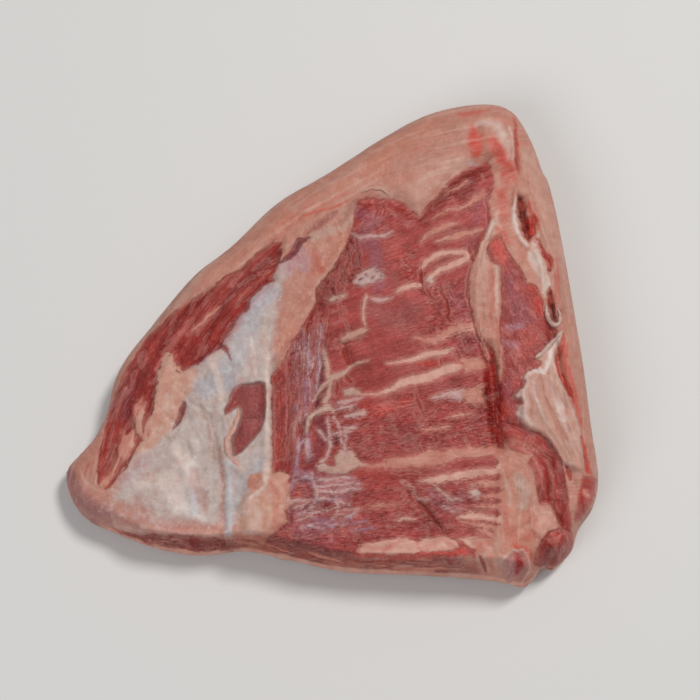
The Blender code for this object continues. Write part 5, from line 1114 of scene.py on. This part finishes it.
def streak_meat(meat, points, place, furrow, ridges, rugged, speckle):
    """Pink lenses in rugged meat, streaks of pale and of deep red where there are furrows, and over them
    blotches, painted light and shade that follow the height's ridges (lighter on them, darker in the furrows),
    and specks.
    """
    lens = smooth_step(2.4 * streaks(place, 1.3, 1.1, 8) - 0.6)
    tint(meat, 0.45 * lens * rugged, "lean_pink", 1.15)
    streak = streaks(place, 0.6, 0.6, 14) + 0.5 * streaks(place, 1.3, 1.5, 15)
    streak *= smooth_step((furrow - 0.2) / 0.2)
    tint(meat, 0.36 * np.clip(streak, 0, 1), "rib")
    tint(meat, 0.75 * np.clip(-streak, 0, 1), "deep_red")
    blotch = np.clip(rough(points, 8.0, 201, 4), -1.2, 1.2)[:, None]
    # painted light and shade: lighter where the fibre ridges of the height rise, darker in their furrows
    meat *= 1 + 0.15 * blotch * (1.0, 1.5, 1.5) + 0.10 * (ridges * (furrow > 0))[:, None]
    meat *= (1 + 0.17 * speckle) * (0.97, 0.84, 0.85)


def cut_side(points, from_edge):
    """The strip of the top beside the cut: the share of each point in it, in its part with layers, in a dark
    and in a pale layer, and in the sharp lip.
    """
    x, y = points.T
    front = smooth_step((-105 - y) / 5) * smooth_step((6.5 - from_edge) / 2)
    near_side = front * smooth_step((x + 112) / 8) * smooth_step((72 - x) / 16)
    layer = lattice_noise(x / 14 + 0.4 * from_edge, from_edge / 1.1, 18)
    layer += 0.5 * lattice_noise(x / 5, from_edge / 0.6, 19)
    dark, pale = np.exp(-((layer / 0.20) ** 2)), smooth_step(2.2 * layer - 0.2)
    lip = smooth_step((1.3 - from_edge + 0.25 * rough(points, 9.0, 20, 2)) / 0.6)
    return front, near_side, dark, pale, lip * smooth_step((-100 - y) / 6)


def surface(points):
    """The top at plan points: its height, and under the names of ATTRIBUTES the colours of the meat and of
    the cover, how far inside the cover (edge) and inside a tear each point is, where it lies in its fibres
    (grain), how deep their furrows are, how wet it is, and how rugged.

    Height is the broad form, less how far bare meat is sunk, plus each cover's thickness and lobules within
    its edge, plus furrows (noise stretched along the fibres), less wrinkles and tears. A tissue's edge is
    measured from points moved about at random: a little for a clean edge, more for a torn one, and along the
    fibres for a frayed one.
    """
    place, furrow, course = fibre_places(points)
    torn = wandering(wandering(points, 0.5, 5.0, 21), 0.22, 1.6, 31)
    soft = wandering(points, 2.2, 14.0, 41)
    fray = (streaks(place, 0.8, 0.7, 5) + 0.35 * streaks(place, 1.9, 1.9, 6))[:, None]
    drawn = {"clean": wandering(points, 0.18, 4.0, 25), "torn": torn, "frayed": torn + 2.4 * fray * course,
             "soft": torn + 1.2 * fray * course}
    meat, cover, inside_cover, thickness, sunk = laid_tissues(drawn)
    for target, tints in ((cover, COVER_TINTS), (meat, MEAT_TINTS)):
        for colour, amount, softness, shape in tints:
            depth = depth_in(soft if softness > 3 else torn, shape, softness)
            tint(target, amount * smooth_step(0.5 + depth / softness), colour)
    tear, slump = torn_open(torn)

    ridges = streaks(place, 1.0, 1.0, 3) + 0.6 * streaks(place, 2.1, 2.1, 4)
    wet, rugged = spread(soft, WET, GROUND_WET, 5.0), spread(soft, RUGGED, GROUND_RUGGED, 4.0)
    grit = rough(points, 2.3, 221, 2)
    speckle = np.clip(grit * rugged, -1, 1)[:, None]
    streak_meat(meat, points, place, furrow, ridges, rugged, speckle)
    wrinkle = np.exp(-((streaks(place, 0.8, 1.2, 16) / 0.14) ** 2))
    wrinkle *= smooth_step(0.2 + 1.3 * rough(points, 15.0, 251, 2))
    tint(cover, 0.20 * wrinkle, "blush")

    from_edge = np.maximum(depth_in_outline(points, RIM), 0)
    front, near_side, dark, pale, lip = cut_side(points, from_edge)
    tint(cover, 0.30 * near_side, "rust")
    tint(cover, 0.85 * near_side * pale, "rib_pale")
    tint(cover, 0.85 * near_side * dark, "deep_red")
    # painted shade: the strip beside the cut made darker and warmer, more where it has layers
    cover *= 1 - near_side[:, None] * (0.04, 0.40, 0.50) - (front - near_side)[:, None] * (0.0, 0.20, 0.26)
    tint(cover, 0.95 * lip, "skin_edge", (1.25, 1.05, 0.98))
    # painted shade: the meat on the left of that strip made darker and warmer
    meat *= 1 - (near_side * (points[:, 0] < 0))[:, None] * (0.22, 0.52, 0.58)
    cover *= 1 + 0.07 * np.clip(rough(points, 4.0, 211, 4)[:, None], -1.2, 1.2) * (1.0, 1.6, 1.8)
    cover *= 1 + 0.12 * speckle * (0.6, 1.0, 1.0)

    on_cover = smooth_step(0.5 + inside_cover / 1.3)
    lobules = 0.24 * rough(points, 6.5, 51, 3) + 0.12 * np.abs(rough(points, 2.2, 61, 2))
    height = broad_height(points, from_edge) - sunk + on_cover * (thickness + lobules) - 0.4 * near_side * dark
    height += furrow * ridges * (1 - 0.6 * on_cover) + 0.10 * rough(points, 3.1, 71, 2)
    height += (0.24 - 0.12 * on_cover) * rugged * grit - 0.22 * on_cover * wrinkle - slump
    return {"height": height, "meat": np.clip(meat, 0, 1), "cover": np.clip(cover, 0, 1), "grain": place,
            "edge": np.clip(inside_cover, -FINISH_REACH, FINISH_REACH), "furrow": furrow, "wet": wet,
            "rugged": rugged, "tear": tear}


def layer_height(points):
    """Height of the face between the fat and the muscle: the layer is thickest under the thick middle."""
    return LAYER_BASE + LAYER_SHARE * blended(points, SWELL, SWELL_REACH)[0]


# ---- meshes --------------------------------------------------------------------------------------------------

ATTRIBUTES = {"meat": ("FLOAT_COLOR", "color"), "cover": ("FLOAT_COLOR", "color"), "edge": ("FLOAT", "value"),
              "grain": ("FLOAT_VECTOR", "vector"), "furrow": ("FLOAT", "value"), "wet": ("FLOAT", "value"),
              "rugged": ("FLOAT", "value"), "tear": ("FLOAT", "value")}


def make_piece(name, points, faces, finish, values, replaced=None, brink=()):
    """A mesh object from plan points in mm, with its surface values as attributes, riding on the body. Edges
    between two points of the brink are sharp.
    """
    places = (np.asarray(points, float) - (*DATUM, 0.0)) * MM
    mesh = bpy.data.meshes.new(name)
    mesh.from_pydata(places.tolist(), [], [tuple(face) for face in faces])
    for key, (kind, field) in ATTRIBUTES.items():
        data = np.asarray(values[key], float).reshape(len(points), -1)
        if kind == "FLOAT_COLOR":
            data = np.column_stack([data, np.ones(len(points))])
        mesh.attributes.new(key, kind, "POINT").data.foreach_set(field, data.astype(np.float32).ravel())
    mesh.shade_smooth()
    if len(brink):
        on_brink = np.zeros(len(points), bool)
        on_brink[brink] = True
        ends = np.zeros(2 * len(mesh.edges), np.int32)
        mesh.edges.foreach_get("vertices", ends)
        sharp = on_brink[ends.reshape(-1, 2)].all(1)
        mesh.attributes.new("sharp_edge", "BOOLEAN", "EDGE").data.foreach_set("value", sharp)
    mesh.materials.append(finish)
    piece = bpy.data.objects.new(name, mesh)
    bpy.context.scene.collection.objects.link(piece)
    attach(piece, "root")
    if replaced:
        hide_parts(replaced)
    return piece


def ring_faces(rows, columns, first=0):
    """Quads between rows of a grid whose columns close into a ring."""
    row, column = np.meshgrid(np.arange(rows - 1), np.arange(columns), indexing="ij")
    a, b = row * columns + column, row * columns + (column + 1) % columns
    return first + np.stack([a, b, b + columns, a + columns], -1).reshape(-1, 4)


def joined(parts):
    """Several (points, faces, values) joined into one, faces renumbered."""
    points, faces, values, first = [], [], [], 0
    for part_points, part_faces, part_values in parts:
        points.append(part_points)
        faces += [tuple(int(k) + first for k in face) for face in part_faces]
        values.append(part_values)
        first += len(part_points)
    merged = {key: np.concatenate([np.asarray(v[key]) for v in values]) for key in ATTRIBUTES}
    return np.vstack(points), faces, merged


def plain_values(count, colour, place=None):
    """Values for a part that is all cover, in a named colour or in a colour for each point."""
    tone = np.tile(linear(colour), (count, 1)) if isinstance(colour, str) else colour
    return {"meat": tone, "cover": tone, "edge": np.full(count, FINISH_REACH), "furrow": np.zeros(count),
            "grain": np.zeros((count, 3)) if place is None else place, "wet": np.full(count, 0.35),
            "rugged": np.full(count, GROUND_RUGGED), "tear": np.full(count, -FINISH_REACH)}


def bent_grid(edge):
    """Plan points of a square grid bent to fit an edge, its faces, and its border, clockwise like the edge.
    Ring k of the square, k steps from the middle, is the edge drawn in to k/n of its distance from the centre.
    """
    n = HALF_GRID
    i, j = np.meshgrid(*[np.arange(-n, n + 1)] * 2, indexing="ij")
    ring = np.maximum(abs(i), abs(j))
    turn = np.select([(i == -ring) & (j < ring), (j == ring) & (i < ring), (i == ring) & (j > -ring)],
                     [j + ring, 2 * ring + i + ring, 4 * ring + ring - j], 6 * ring + ring - i)
    share = np.where(ring > 0, turn / np.maximum(8 * ring, 1), 0).ravel() * len(edge)
    low = np.floor(share).astype(int)
    blend = (share - low)[:, None]
    reach = (1 - blend) * edge[low % len(edge)] + blend * edge[(low + 1) % len(edge)] - CENTRE
    side = 2 * n + 1
    corner = (np.arange(side - 1)[:, None] * side + np.arange(side - 1)).ravel()
    border = np.flatnonzero(ring.ravel() == n)
    border = border[np.argsort(turn.ravel()[border])]
    faces = np.stack([corner, corner + side, corner + side + 1, corner + 1], 1)
    return CENTRE + reach * (ring.ravel() / n)[:, None], faces, border


def closed_below(border, rim, first):
    """Points, numbered from the first, and faces that close the muscle below its border: a side that leans
    in, then rings with half as many points each, and a point in the middle.
    """
    foot = pulled_in(rim[:, :2], WALL_LEAN)
    foot = np.column_stack([foot, np.minimum(layer_height(foot), rim[:, 2] - LEAST_WALL)])
    points, blocks = [0.5 * (rim + foot), foot], []
    count, above, ring = len(border), border, foot[:, :2]
    for _ in points:
        below = first + np.arange(count)
        blocks.append(np.stack([above, np.roll(above, -1), np.roll(below, -1), below], 1))
        above, first = below, first + count
    while count % 2 == 0 and count > 8:
        ring = CENTRE + (ring[::2] - CENTRE) * 0.82
        points.append(np.column_stack([ring, layer_height(ring)]))
        count //= 2
        below = first + np.arange(count)
        a, b, c = above[::2], above[1::2], np.roll(above[::2], -1)
        d, e = below, np.roll(below, -1)
        blocks += [np.stack(corners, 1) for corners in ((a, b, d), (b, e, d), (b, c, e))]
        above, first = below, first + count
    points.append(np.array([[*CENTRE, layer_height(CENTRE[None])[0]]]))
    blocks.append(np.stack([above, np.roll(above, -1), np.full(count, first)], 1))
    return np.vstack(points), blocks


def make_lean(edge, finish):
    """The muscle: a bent grid for its top, closed by its side and underside."""
    plan, faces, border = bent_grid(edge)
    values = surface(plan)
    top = np.column_stack([plan, values.pop("height")])
    hidden, blocks = closed_below(border, top[border], len(top))
    faces = [tuple(face) for block in (faces, *blocks) for face in block]
    rest = plain_values(len(hidden), "crimson")
    values = {key: np.concatenate([values[key], rest[key]]) for key in ATTRIBUTES}
    points = np.vstack([top, hidden])
    return make_piece("lean_muscle", points, faces, finish, values, "lean_meat", border)


def make_fat(edge, finish):
    """The fat: one profile carried round the piece, from the middle of the bowl's floor up its inner side,
    across the top to the widest line, down the rounded outer side, and in over the flat base.
    """
    outline = closed_curve(OUTLINE, FAT_COLUMNS)
    inner = pulled_in(seen_from_centre(edge, outline), -SIDE_GAP)
    inner_foot = pulled_in(seen_from_centre(edge, outline), WALL_LEAN - SIDE_GAP)
    share = 1 - (1 - np.linspace(0, 1, FAT_TOP_ROWS)) ** 1.25
    plan = (inner + share[:, None, None] * (outline - inner)).reshape(-1, 2)
    values = surface(plan)
    height = values.pop("height").reshape(FAT_TOP_ROWS, -1)
    widest = blended(outline, SHOULDER, EDGE_REACH)[1]
    height[-1] = widest + 0.3 * rough(outline, 9.0, 81, 2)
    top = np.dstack([plan.reshape(FAT_TOP_ROWS, -1, 2), height])

    foot_height = np.minimum(layer_height(inner_foot), height[0] - LEAST_WALL) - LAYER_GAP
    foot = np.column_stack([inner_foot, foot_height])
    floor = CENTRE + (inner_foot - CENTRE) * 0.5
    below = [np.column_stack([floor, layer_height(floor) - LAYER_GAP]), foot, 0.5 * (foot + top[0])]

    angle = np.linspace(0, np.pi / 2, FAT_SIDE_ROWS + 1)[1:]
    side = []
    for drop in np.sin(angle):
        inset = BASE_INSET * (1 - np.sqrt(max(0.0, 1 - drop**2)))
        z = widest * (1 - drop)
        bulge = 0.45 * rough(np.column_stack([outline @ (0.8, 0.6), z * 1.3 + outline @ (-0.6, 0.8)]), 7.0, 91, 3)
        side.append(np.column_stack([pulled_in(outline, inset - bulge * np.sin(np.pi * drop) ** 0.6), z]))
    base = []
    for row in range(1, FAT_BASE_ROWS + 1):
        ring = CENTRE + (side[-1][:, :2] - CENTRE) * (1 - row / (FAT_BASE_ROWS + 1))
        base.append(np.column_stack([ring, 0.22 * smooth_step(row / 2) * (1.6 + rough(ring, 30.0, 95, 2))]))
    rows = [*below, *top, *side, *base]
    points = np.vstack([*rows, [[*CENTRE, below[0][:, 2].mean()]], [[*CENTRE, 0.4]]])
    faces = [tuple(face) for face in ring_faces(len(rows), FAT_COLUMNS)]
    last, start = len(points) - 1, (len(rows) - 1) * FAT_COLUMNS
    column = np.arange(FAT_COLUMNS)
    after = (column + 1) % FAT_COLUMNS
    faces += [tuple(face) for face in np.stack([after, column, np.full(FAT_COLUMNS, last - 1)], 1)]
    faces += [tuple(face) for face in np.stack([start + column, start + after, np.full(FAT_COLUMNS, last)], 1)]

    before = plain_values(3 * FAT_COLUMNS, "fat")
    lower = np.vstack([*side, *base, points[-2:]])
    after_top = plain_values(len(lower), side_colour(lower), side_grain(lower))
    parts = (before, values, after_top)
    values = {key: np.concatenate([part[key] for part in parts]) for key in ATTRIBUTES}
    brink = 3 * FAT_COLUMNS + np.arange(FAT_COLUMNS)
    return make_piece("fat_layer", points, faces, finish, values, "fat_cap", brink)


def make_strands(name, strands, finish):
    """Strands joined into one piece. Each is an oval drawn along its path, draped on the surface, its width
    uneven, its ends closed to points.
    """
    around = STRAND_SIDES
    curves = []
    for *_, rows in strands:
        length = np.hypot(*np.diff(np.array(rows)[:, :2], axis=0).T).sum()
        curve = open_curve(rows, int(max(STRAND_LEAST, length / STRAND_STEP)))
        curve[:, :2] = wandering(curve[:, :2], 0.22, 2.6, 301)
        curves.append(curve)
    heights = surface(np.vstack(curves)[:, :2])["height"]
    cuts = np.cumsum([len(curve) for curve in curves])[:-1]
    parts = []
    for (colour, flat, lift, _), curve, height in zip(strands, curves, np.split(heights, cuts)):
        height = np.convolve(np.pad(height, 2, "edge"), (0.1, 0.25, 0.3, 0.25, 0.1), "valid") + lift
        spine = np.column_stack([curve[:, :2], height])
        ahead = np.gradient(spine, axis=0)
        ahead /= np.linalg.norm(ahead, axis=1)[:, None]
        across = np.cross(ahead, (0, 0, 1.0))
        across /= np.linalg.norm(across, axis=1)[:, None]
        above = np.cross(across, ahead)
        half = np.maximum(curve[:, 2], 0.05) * (1 + 0.3 * rough(curve[:, :2], 1.8, 311, 2))
        from_end = np.minimum(np.arange(len(half)), np.arange(len(half))[::-1])
        half *= np.sqrt(np.clip(from_end / 3 + 0.15, 0, 1))
        turn = np.arange(around) * 2 * np.pi / around
        ring = np.cos(turn)[None, :, None] * across[:, None] + flat * np.sin(turn)[None, :, None] * above[:, None]
        points = (spine[:, None] + half[:, None, None] * ring).reshape(-1, 3)
        points = np.vstack([points, spine[0], spine[-1]])
        count = len(spine)
        faces = [tuple(face) for face in ring_faces(count, around)[:, ::-1]]
        last = (count - 1) * around
        for k in range(around):
            faces.append((k, (k + 1) % around, len(points) - 2))
            faces.append((last + (k + 1) % around, last + k, len(points) - 1))
        place = np.column_stack([points[:, :2] / 3.0, np.full(len(points), 131.0)])
        tone = np.tile(linear(colour), (len(points), 1)) * (1 + 0.06 * rough(points[:, :2], 2.5, 321, 2)[:, None])
        parts.append((points, faces, plain_values(len(points), tone, place)))
    points, faces, values = joined(parts)
    return make_piece(name, points, faces, finish, values)


def side_colour(points):
    """Colour of the outer side and the base: pale fat with broad warm and pink drifts, pinker at the cut."""
    x, y, z = points.T
    plan = points[:, :2]
    tone = np.tile(linear("fat"), (len(points), 1))
    tint(tone, 0.6 * smooth_step(0.5 + rough(plan, 34.0, 101, 3)), "fat_orange")
    tint(tone, 0.6 * smooth_step(0.45 + rough(plan, 22.0, 111, 3)), "fat_pale")
    at_cut = smooth_step((-y - 100) / 6) * smooth_step(z / 4)
    tint(tone, 0.75 * at_cut, "skin_edge", (1.15, 0.96, 0.90))
    bits = smooth_step(1.8 * rough(np.column_stack([x, 2.5 * z + y]), 4.0, 131, 3))
    tint(tone, 0.5 * at_cut * bits, "rust")
    return tone


def side_grain(points):
    """Fibre places on the side and the base: long over the plan, short up the side."""
    x, y, z = points.T
    return np.column_stack([x / 14, z / 3 + y / 14, np.full(len(points), 91.0)])


# ---- finishes ------------------------------------------------------------------------------------------------


FLESH = {"Subsurface Weight": 0.12, "Subsurface Scale": 0.0025, "Subsurface Radius": (1.0, 0.35, 0.22),
         "Specular IOR Level": 0.36, "IOR": 1.4}


class Value:
    """A number worked out in a finish. Each operator on it adds a Math node."""

    def __init__(self, finish, socket):
        self.finish, self.socket = finish, socket

    def maths(self, operation, *numbers):
        """A Math node with this operation on these numbers."""
        return self.finish.node("ShaderNodeMath", {"operation": operation}, dict(enumerate(numbers)))

    def __add__(self, other):
        return self.maths("ADD", self, other)

    def __sub__(self, other):
        return self.maths("SUBTRACT", self, other)

    def __rsub__(self, other):
        return self.maths("SUBTRACT", other, self)

    def __mul__(self, other):
        return self.maths("MULTIPLY", self, other)

    __radd__, __rmul__ = __add__, __mul__

    def step(self, low, high):
        """0 below low, 1 above high, and a smooth rise between them."""
        settings = {"interpolation_type": "SMOOTHSTEP"}
        sockets = {"Value": self, "From Min": low, "From Max": high}
        return self.finish.node("ShaderNodeMapRange", settings, sockets)


class Finish:
    """A material under a plain name, and the nodes that work it out."""

    def __init__(self, name):
        self.material = bpy.data.materials.new(name)
        self.material.use_nodes = True
        self.tree = self.material.node_tree
        self.shader = self.tree.nodes["Principled BSDF"]

    def node(self, kind, settings, sockets, output=0):
        """A node with its settings made first, then its sockets' values or links. Gives one output."""
        node = self.tree.nodes.new(kind)
        for key, value in settings.items():
            setattr(node, key, value)
        for key, value in sockets.items():
            self.feed(node.inputs[key], value)
        return Value(self, node.outputs[output])

    def feed(self, socket, value):
        """Links a worked-out value to a socket, or sets a plain one."""
        if isinstance(value, Value):
            self.tree.links.new(value.socket, socket)
        else:
            socket.default_value = value

    def attribute(self, name, output="Fac"):
        """A surface value of the mesh."""
        return self.node("ShaderNodeAttribute", {"attribute_name": name}, {}, output)

    def stretched(self, vector, scale):
        """A place with each of its parts multiplied by that of the scale."""
        sockets = {0: vector, 1: scale}
        return self.node("ShaderNodeVectorMath", {"operation": "MULTIPLY"}, sockets)

    def noise(self, vector, scale, detail, roughness):
        """Cloudy noise from 0 to 1."""
        sockets = {"Vector": vector, "Scale": scale, "Detail": detail, "Roughness": roughness}
        return self.node("ShaderNodeTexNoise", {}, sockets, "Fac")

    def cells(self, vector, scale, feature="F1"):
        """Distance to the nearest of many scattered points, or to the nearest edge between their cells."""
        sockets = {"Vector": vector, "Scale": scale}
        return self.node("ShaderNodeTexVoronoi", {"feature": feature}, sockets, "Distance")

    def mix(self, share, a, b, blend="MIX"):
        """A colour mixed from two others, or multiplied by the second."""
        settings = {"data_type": "RGBA", "clamp_factor": True, "blend_type": blend}
        return self.node("ShaderNodeMix", settings, {0: share, 6: a, 7: b}, 2)

    def coated(self, colour, *coats):
        """A colour with coats over it. Each has its share and its colour, and MULTIPLY where it only darkens."""
        for share, coat, *blend in coats:
            colour = self.mix(share, colour, (*coat, 1), *blend)
        return colour


class Tissue(Finish):
    """Meat and what covers it. The meat is streaked along its fibres, with painted highlights on raised ridges
    and painted shade in sunk seams and pits; the cover is clouded and finely lobed, and lets the meat show at
    its thin edge. A crisp uneven line parts the two.
    """

    def __init__(self, name):
        super().__init__(name)
        self.place = self.node("ShaderNodeTexCoord", {}, {}, "Object")
        self.grain = self.attribute("grain", "Vector")
        self.furrow, self.wetness, self.rugged = (self.attribute(key) for key in ("furrow", "wet", "rugged"))
        self.skin = self.wetness.step(0.60, 0.95)  # wet enough to be silverskin

        self.streak = self.fibrous(1.0, 1.6, 3.0, 0.6)
        self.fine = self.fibrous(3.0, 4.5, 2.0, 0.55)
        self.flake = self.fibrous(7.0, 2.4, 3.0, 0.65)
        self.veil = self.fibrous(0.9, 1.3, 3.0, 0.6)
        self.seams = self.cells(self.stretched(self.grain, (0.8, 0.8, 1.0)), 1.0, "DISTANCE_TO_EDGE")
        self.speck = self.cloudy(900.0, 2.0, 0.6)
        self.cloud = self.cloudy(120.0, 4.0, 0.65)
        self.coarse = self.cloudy(480.0, 4.0, 0.7)
        self.mottle = self.cloudy(230.0, 5.0, 0.7)
        self.lobe = self.cells(self.place, 420.0)
        pleat = self.cloudy(105.0, 5.0, 0.62) - 0.5
        self.pleat = 1.0 - pleat.maths("ABSOLUTE", pleat).step(0.0, 0.016)

        edge = self.attribute("edge") + (self.cloudy(1300.0, 3.0, 0.65) - 0.5) * (self.rugged + 0.6)
        self.edge = edge + (self.flake - 0.5) * (self.rugged * 4.0)
        self.covered = self.edge.step(-0.25, 0.30)
        self.tear = self.attribute("tear") + (self.cloudy(900.0, 3.0, 0.7) - 0.5) * 1.5
        self.gap = self.tear.step(-0.15, 0.60)

        bump = {"Height": self.relief(), "Strength": 0.8, "Distance": MM}
        worked_out = {"Base Color": self.colour(), "Roughness": self.roughness(),
                      "Normal": self.node("ShaderNodeBump", {}, bump)}
        for key, value in (worked_out | FLESH).items():
            self.feed(self.shader.inputs[key], value)

    def fibrous(self, along, across, detail, roughness):
        """Noise stretched along the fibres, by how fine it is along and across them."""
        return self.noise(self.stretched(self.grain, (along, across, 1.0)), 1.0, detail, roughness)

    def cloudy(self, scale, detail, roughness):
        """Noise in the piece's own coordinates."""
        return self.noise(self.place, scale, detail, roughness)

    def meat(self):
        """Meat: pale streaks on the raised fibre ridges as painted highlights, dark streaks stronger where furrows
        are deep, painted shade in the sunk seams between bundles and in pits, dark and pale flakes, specks.
        """
        rugged, strength = self.rugged, (self.furrow * 2.4).step(0.0, 1.0)
        seams = (1.0 - self.seams.step(0.0, 0.09)) * strength * self.cloud.step(0.44, 0.60)
        return self.coated(
            self.attribute("meat", "Color"),
            # painted highlights: pale streaks where the fibre ridges of the bump rise
            ((self.streak * 0.6 + self.fine * 0.4).step(0.50, 0.74) * (strength * 0.22 + 0.06), (0.56, 0.24, 0.21)),
            ((1.0 - self.fibrous(0.6, 0.4, 3.0, 0.6)).step(0.48, 0.66) * (strength * 0.35 + 0.10),
             (0.60, 0.48, 0.50), "MULTIPLY"),
            # painted shade: darker in the sunk seams between bundles and in the pits where the bump is low
            (seams * 0.45, (0.50, 0.34, 0.36), "MULTIPLY"),
            ((1.0 - self.coarse).step(0.48, 0.64) * (rugged * 0.3 + 0.2), (0.66, 0.46, 0.48), "MULTIPLY"),
            ((1.0 - self.flake).step(0.50, 0.62) * (rugged * 0.75 + 0.12), (0.62, 0.26, 0.25), "MULTIPLY"),
            (self.flake.step(0.53, 0.66) * (rugged * 0.36 + 0.08), (0.52, 0.205, 0.175)),
            (self.speck.step(0.56, 0.74) * (rugged * 0.14 + 0.14), (0.60, 0.34, 0.31)),
        )

    def cover(self):
        """Cover: clouds, a veil, lobules, specks, a mottle on silverskin, pleats, red and pale threads."""
        skin, threads = self.skin, self.fibrous(0.9, 1.1, 5.0, 0.62)
        return self.coated(
            self.attribute("cover", "Color"),
            (self.cloud.step(0.44, 0.70) * 0.30, (1.0, 0.80, 0.74), "MULTIPLY"),
            ((1.0 - self.cloud).step(0.50, 0.74) * 0.22, (0.60, 0.42, 0.35)),
            (self.veil.step(0.54, 0.76) * 0.30, (0.90, 0.72, 0.72), "MULTIPLY"),
            (self.lobe.step(0.50, 0.95) * 0.20, (0.80, 0.62, 0.56), "MULTIPLY"),
            (self.speck.step(0.58, 0.72) * 0.20, (0.66, 0.52, 0.46)),
            (self.mottle.step(0.46, 0.72) * skin * 0.30, (0.74, 0.71, 0.70)),
            ((1.0 - self.mottle).step(0.48, 0.74) * skin * 0.28, (0.84, 0.74, 0.72), "MULTIPLY"),
            (self.pleat * (0.16 - skin * 0.02), (0.80, 0.62, 0.56), "MULTIPLY"),
            (threads.step(0.50, 0.68) * (0.26 - skin * 0.22), (0.58, 0.25, 0.19)),
            ((1.0 - threads).step(0.50, 0.68) * (0.26 - skin * 0.18), (0.70, 0.49, 0.41)),
        )

    def colour(self):
        """The meat or its cover, whichever shows, each a little through the other at the cover's edge; then
        painted highlights as pale lips beside tears, the dark inside of tears, and small painted glints: white
        specks that stand in for highlights.
        """
        meat, cover = self.meat(), self.cover()
        film, thin = self.edge.step(-2.0, 0.0) * 0.34, (1.0 - self.edge.step(0.0, 1.3)) * 0.12
        # painted highlights: white specks in the colour where the surface is wet
        painted_glint = self.cloudy(1300.0, 1.0, 0.5).step(0.65, 0.71) * self.cloudy(130.0, 2.0, 0.6).step(0.54, 0.64)
        return self.coated(
            self.mix(self.covered, self.mix(film, meat, cover), self.mix(thin, cover, meat)),
            # painted highlight: a pale lip beside each tear
            ((self.tear.step(-1.3, -0.4) - self.gap) * 0.16, (0.66, 0.36, 0.31)),
            (self.gap * 0.78, (0.30, 0.030, 0.022)),
            (painted_glint * self.wetness.step(0.45, 0.95) * (0.75 - self.skin * 0.40), (0.86, 0.82, 0.82)),
        )

    def roughness(self):
        """Smoother where it is wet, in patches."""
        wet = self.cloudy(560.0, 3.0, 0.6)
        meat = 0.50 - wet.step(0.45, 0.62) * (self.wetness * 0.34 + 0.06)
        cover = 0.54 - wet.step(0.46, 0.62) * (self.wetness * 0.34 + 0.04)
        return meat + self.covered * (cover - meat)

    def relief(self):
        """Fine relief in mm: ridges along the fibres, grit and flakes, and on the cover lumps and pleats."""
        ridges = (self.streak - 0.5) * 0.30 + (self.fine - 0.5) * 0.14 - (1.0 - self.seams.step(0.0, 0.12)) * 0.16
        ridges = ridges * (self.furrow * 2.4 + 0.15)
        grit = self.cloudy(1100.0, 3.0, 0.6) * 0.20 + self.coarse * (self.rugged * 0.30)
        flakes = (self.flake - 0.5) * (self.rugged * 0.7 + 0.1)
        lumps = (self.lobe - 0.5) * 0.12 + (self.veil - 0.5) * 0.16
        lumps = lumps + (self.cloudy(520.0, 4.0, 0.7) - 0.5) * (0.44 - self.skin * 0.14)
        lumps = lumps + (self.mottle - 0.5) * (self.skin * 0.34) - self.pleat * 0.06
        return ridges + grit + flakes + self.covered * (lumps - ridges - flakes) - self.gap * 0.2


# ---- the room ------------------------------------------------------------------------------------------------


def make_floor():
    """A plain pale floor."""
    mesh = bpy.data.meshes.new("floor")
    mesh.from_pydata([(-3, -3, 0), (3, -3, 0), (3, 3, 0), (-3, 3, 0)], [], [(0, 1, 2, 3)])
    finish = Finish("floor")
    finish.shader.inputs["Base Color"].default_value = (0.66, 0.65, 0.64, 1)
    finish.shader.inputs["Roughness"].default_value = 0.85
    mesh.materials.append(finish.material)
    floor = bpy.data.objects.new("floor", mesh)
    bpy.context.scene.collection.objects.link(floor)


def aim(obj, place, target):
    """Puts a lamp or a camera at a place, turned towards the target, into the scene."""
    obj.location = place
    obj.rotation_euler = (Vector(target) - Vector(place)).to_track_quat("-Z", "Y").to_euler()
    bpy.context.scene.collection.objects.link(obj)


def make_light(name, place, size, power, colour):
    """A round lamp of a size in metres and a power in watts, aimed at the meat."""
    lamp = bpy.data.lights.new(name, "AREA")
    lamp.shape, lamp.size = "DISK", size
    lamp.energy, lamp.color = power, colour
    aim(bpy.data.objects.new(name, lamp), place, (0, 0, 0.02))


def set_room():
    """Soft light from the upper right and a weaker one from the left, a dim white sky, and the camera."""
    world = bpy.data.worlds.new("sky")
    bpy.context.scene.world = world
    world.use_nodes = True
    sky = world.node_tree.nodes["Background"].inputs
    sky["Color"].default_value = (1.0, 1.0, 1.0, 1)
    sky["Strength"].default_value = 0.28
    make_light("key", (1.0, 0.9, 2.1), 0.6, 40.0, (1.0, 0.98, 0.95))
    make_light("fill", (-1.2, -1.2, 1.6), 1.4, 17.0, (0.95, 0.97, 1.0))
    lens = bpy.data.cameras.new("camera")
    lens.lens, lens.sensor_width = 85.0, 36.0
    target, away, pitch = np.array((0.0095, -0.0096, 0.025)), 0.868, np.radians(75.0)
    camera = bpy.data.objects.new("camera", lens)
    aim(camera, target + away * np.array((0.0, -np.cos(pitch), np.sin(pitch))), target)
    bpy.context.scene.camera = camera
    bpy.context.scene.view_settings.view_transform = "Standard"
    bpy.context.scene.view_settings.look = "None"


def main():
    """The line between muscle and fat, the three pieces, and the room round them."""
    edge = seen_from_centre(closed_curve(MEAT_EDGE, EDGE_POINTS), closed_curve(OUTLINE, FAT_COLUMNS))
    flesh = Tissue("flesh").material
    make_lean(edge, flesh)
    make_fat(edge, Tissue("fat").material)
    make_strands("cords", CORDS, flesh)
    make_floor()
    set_room()


main()
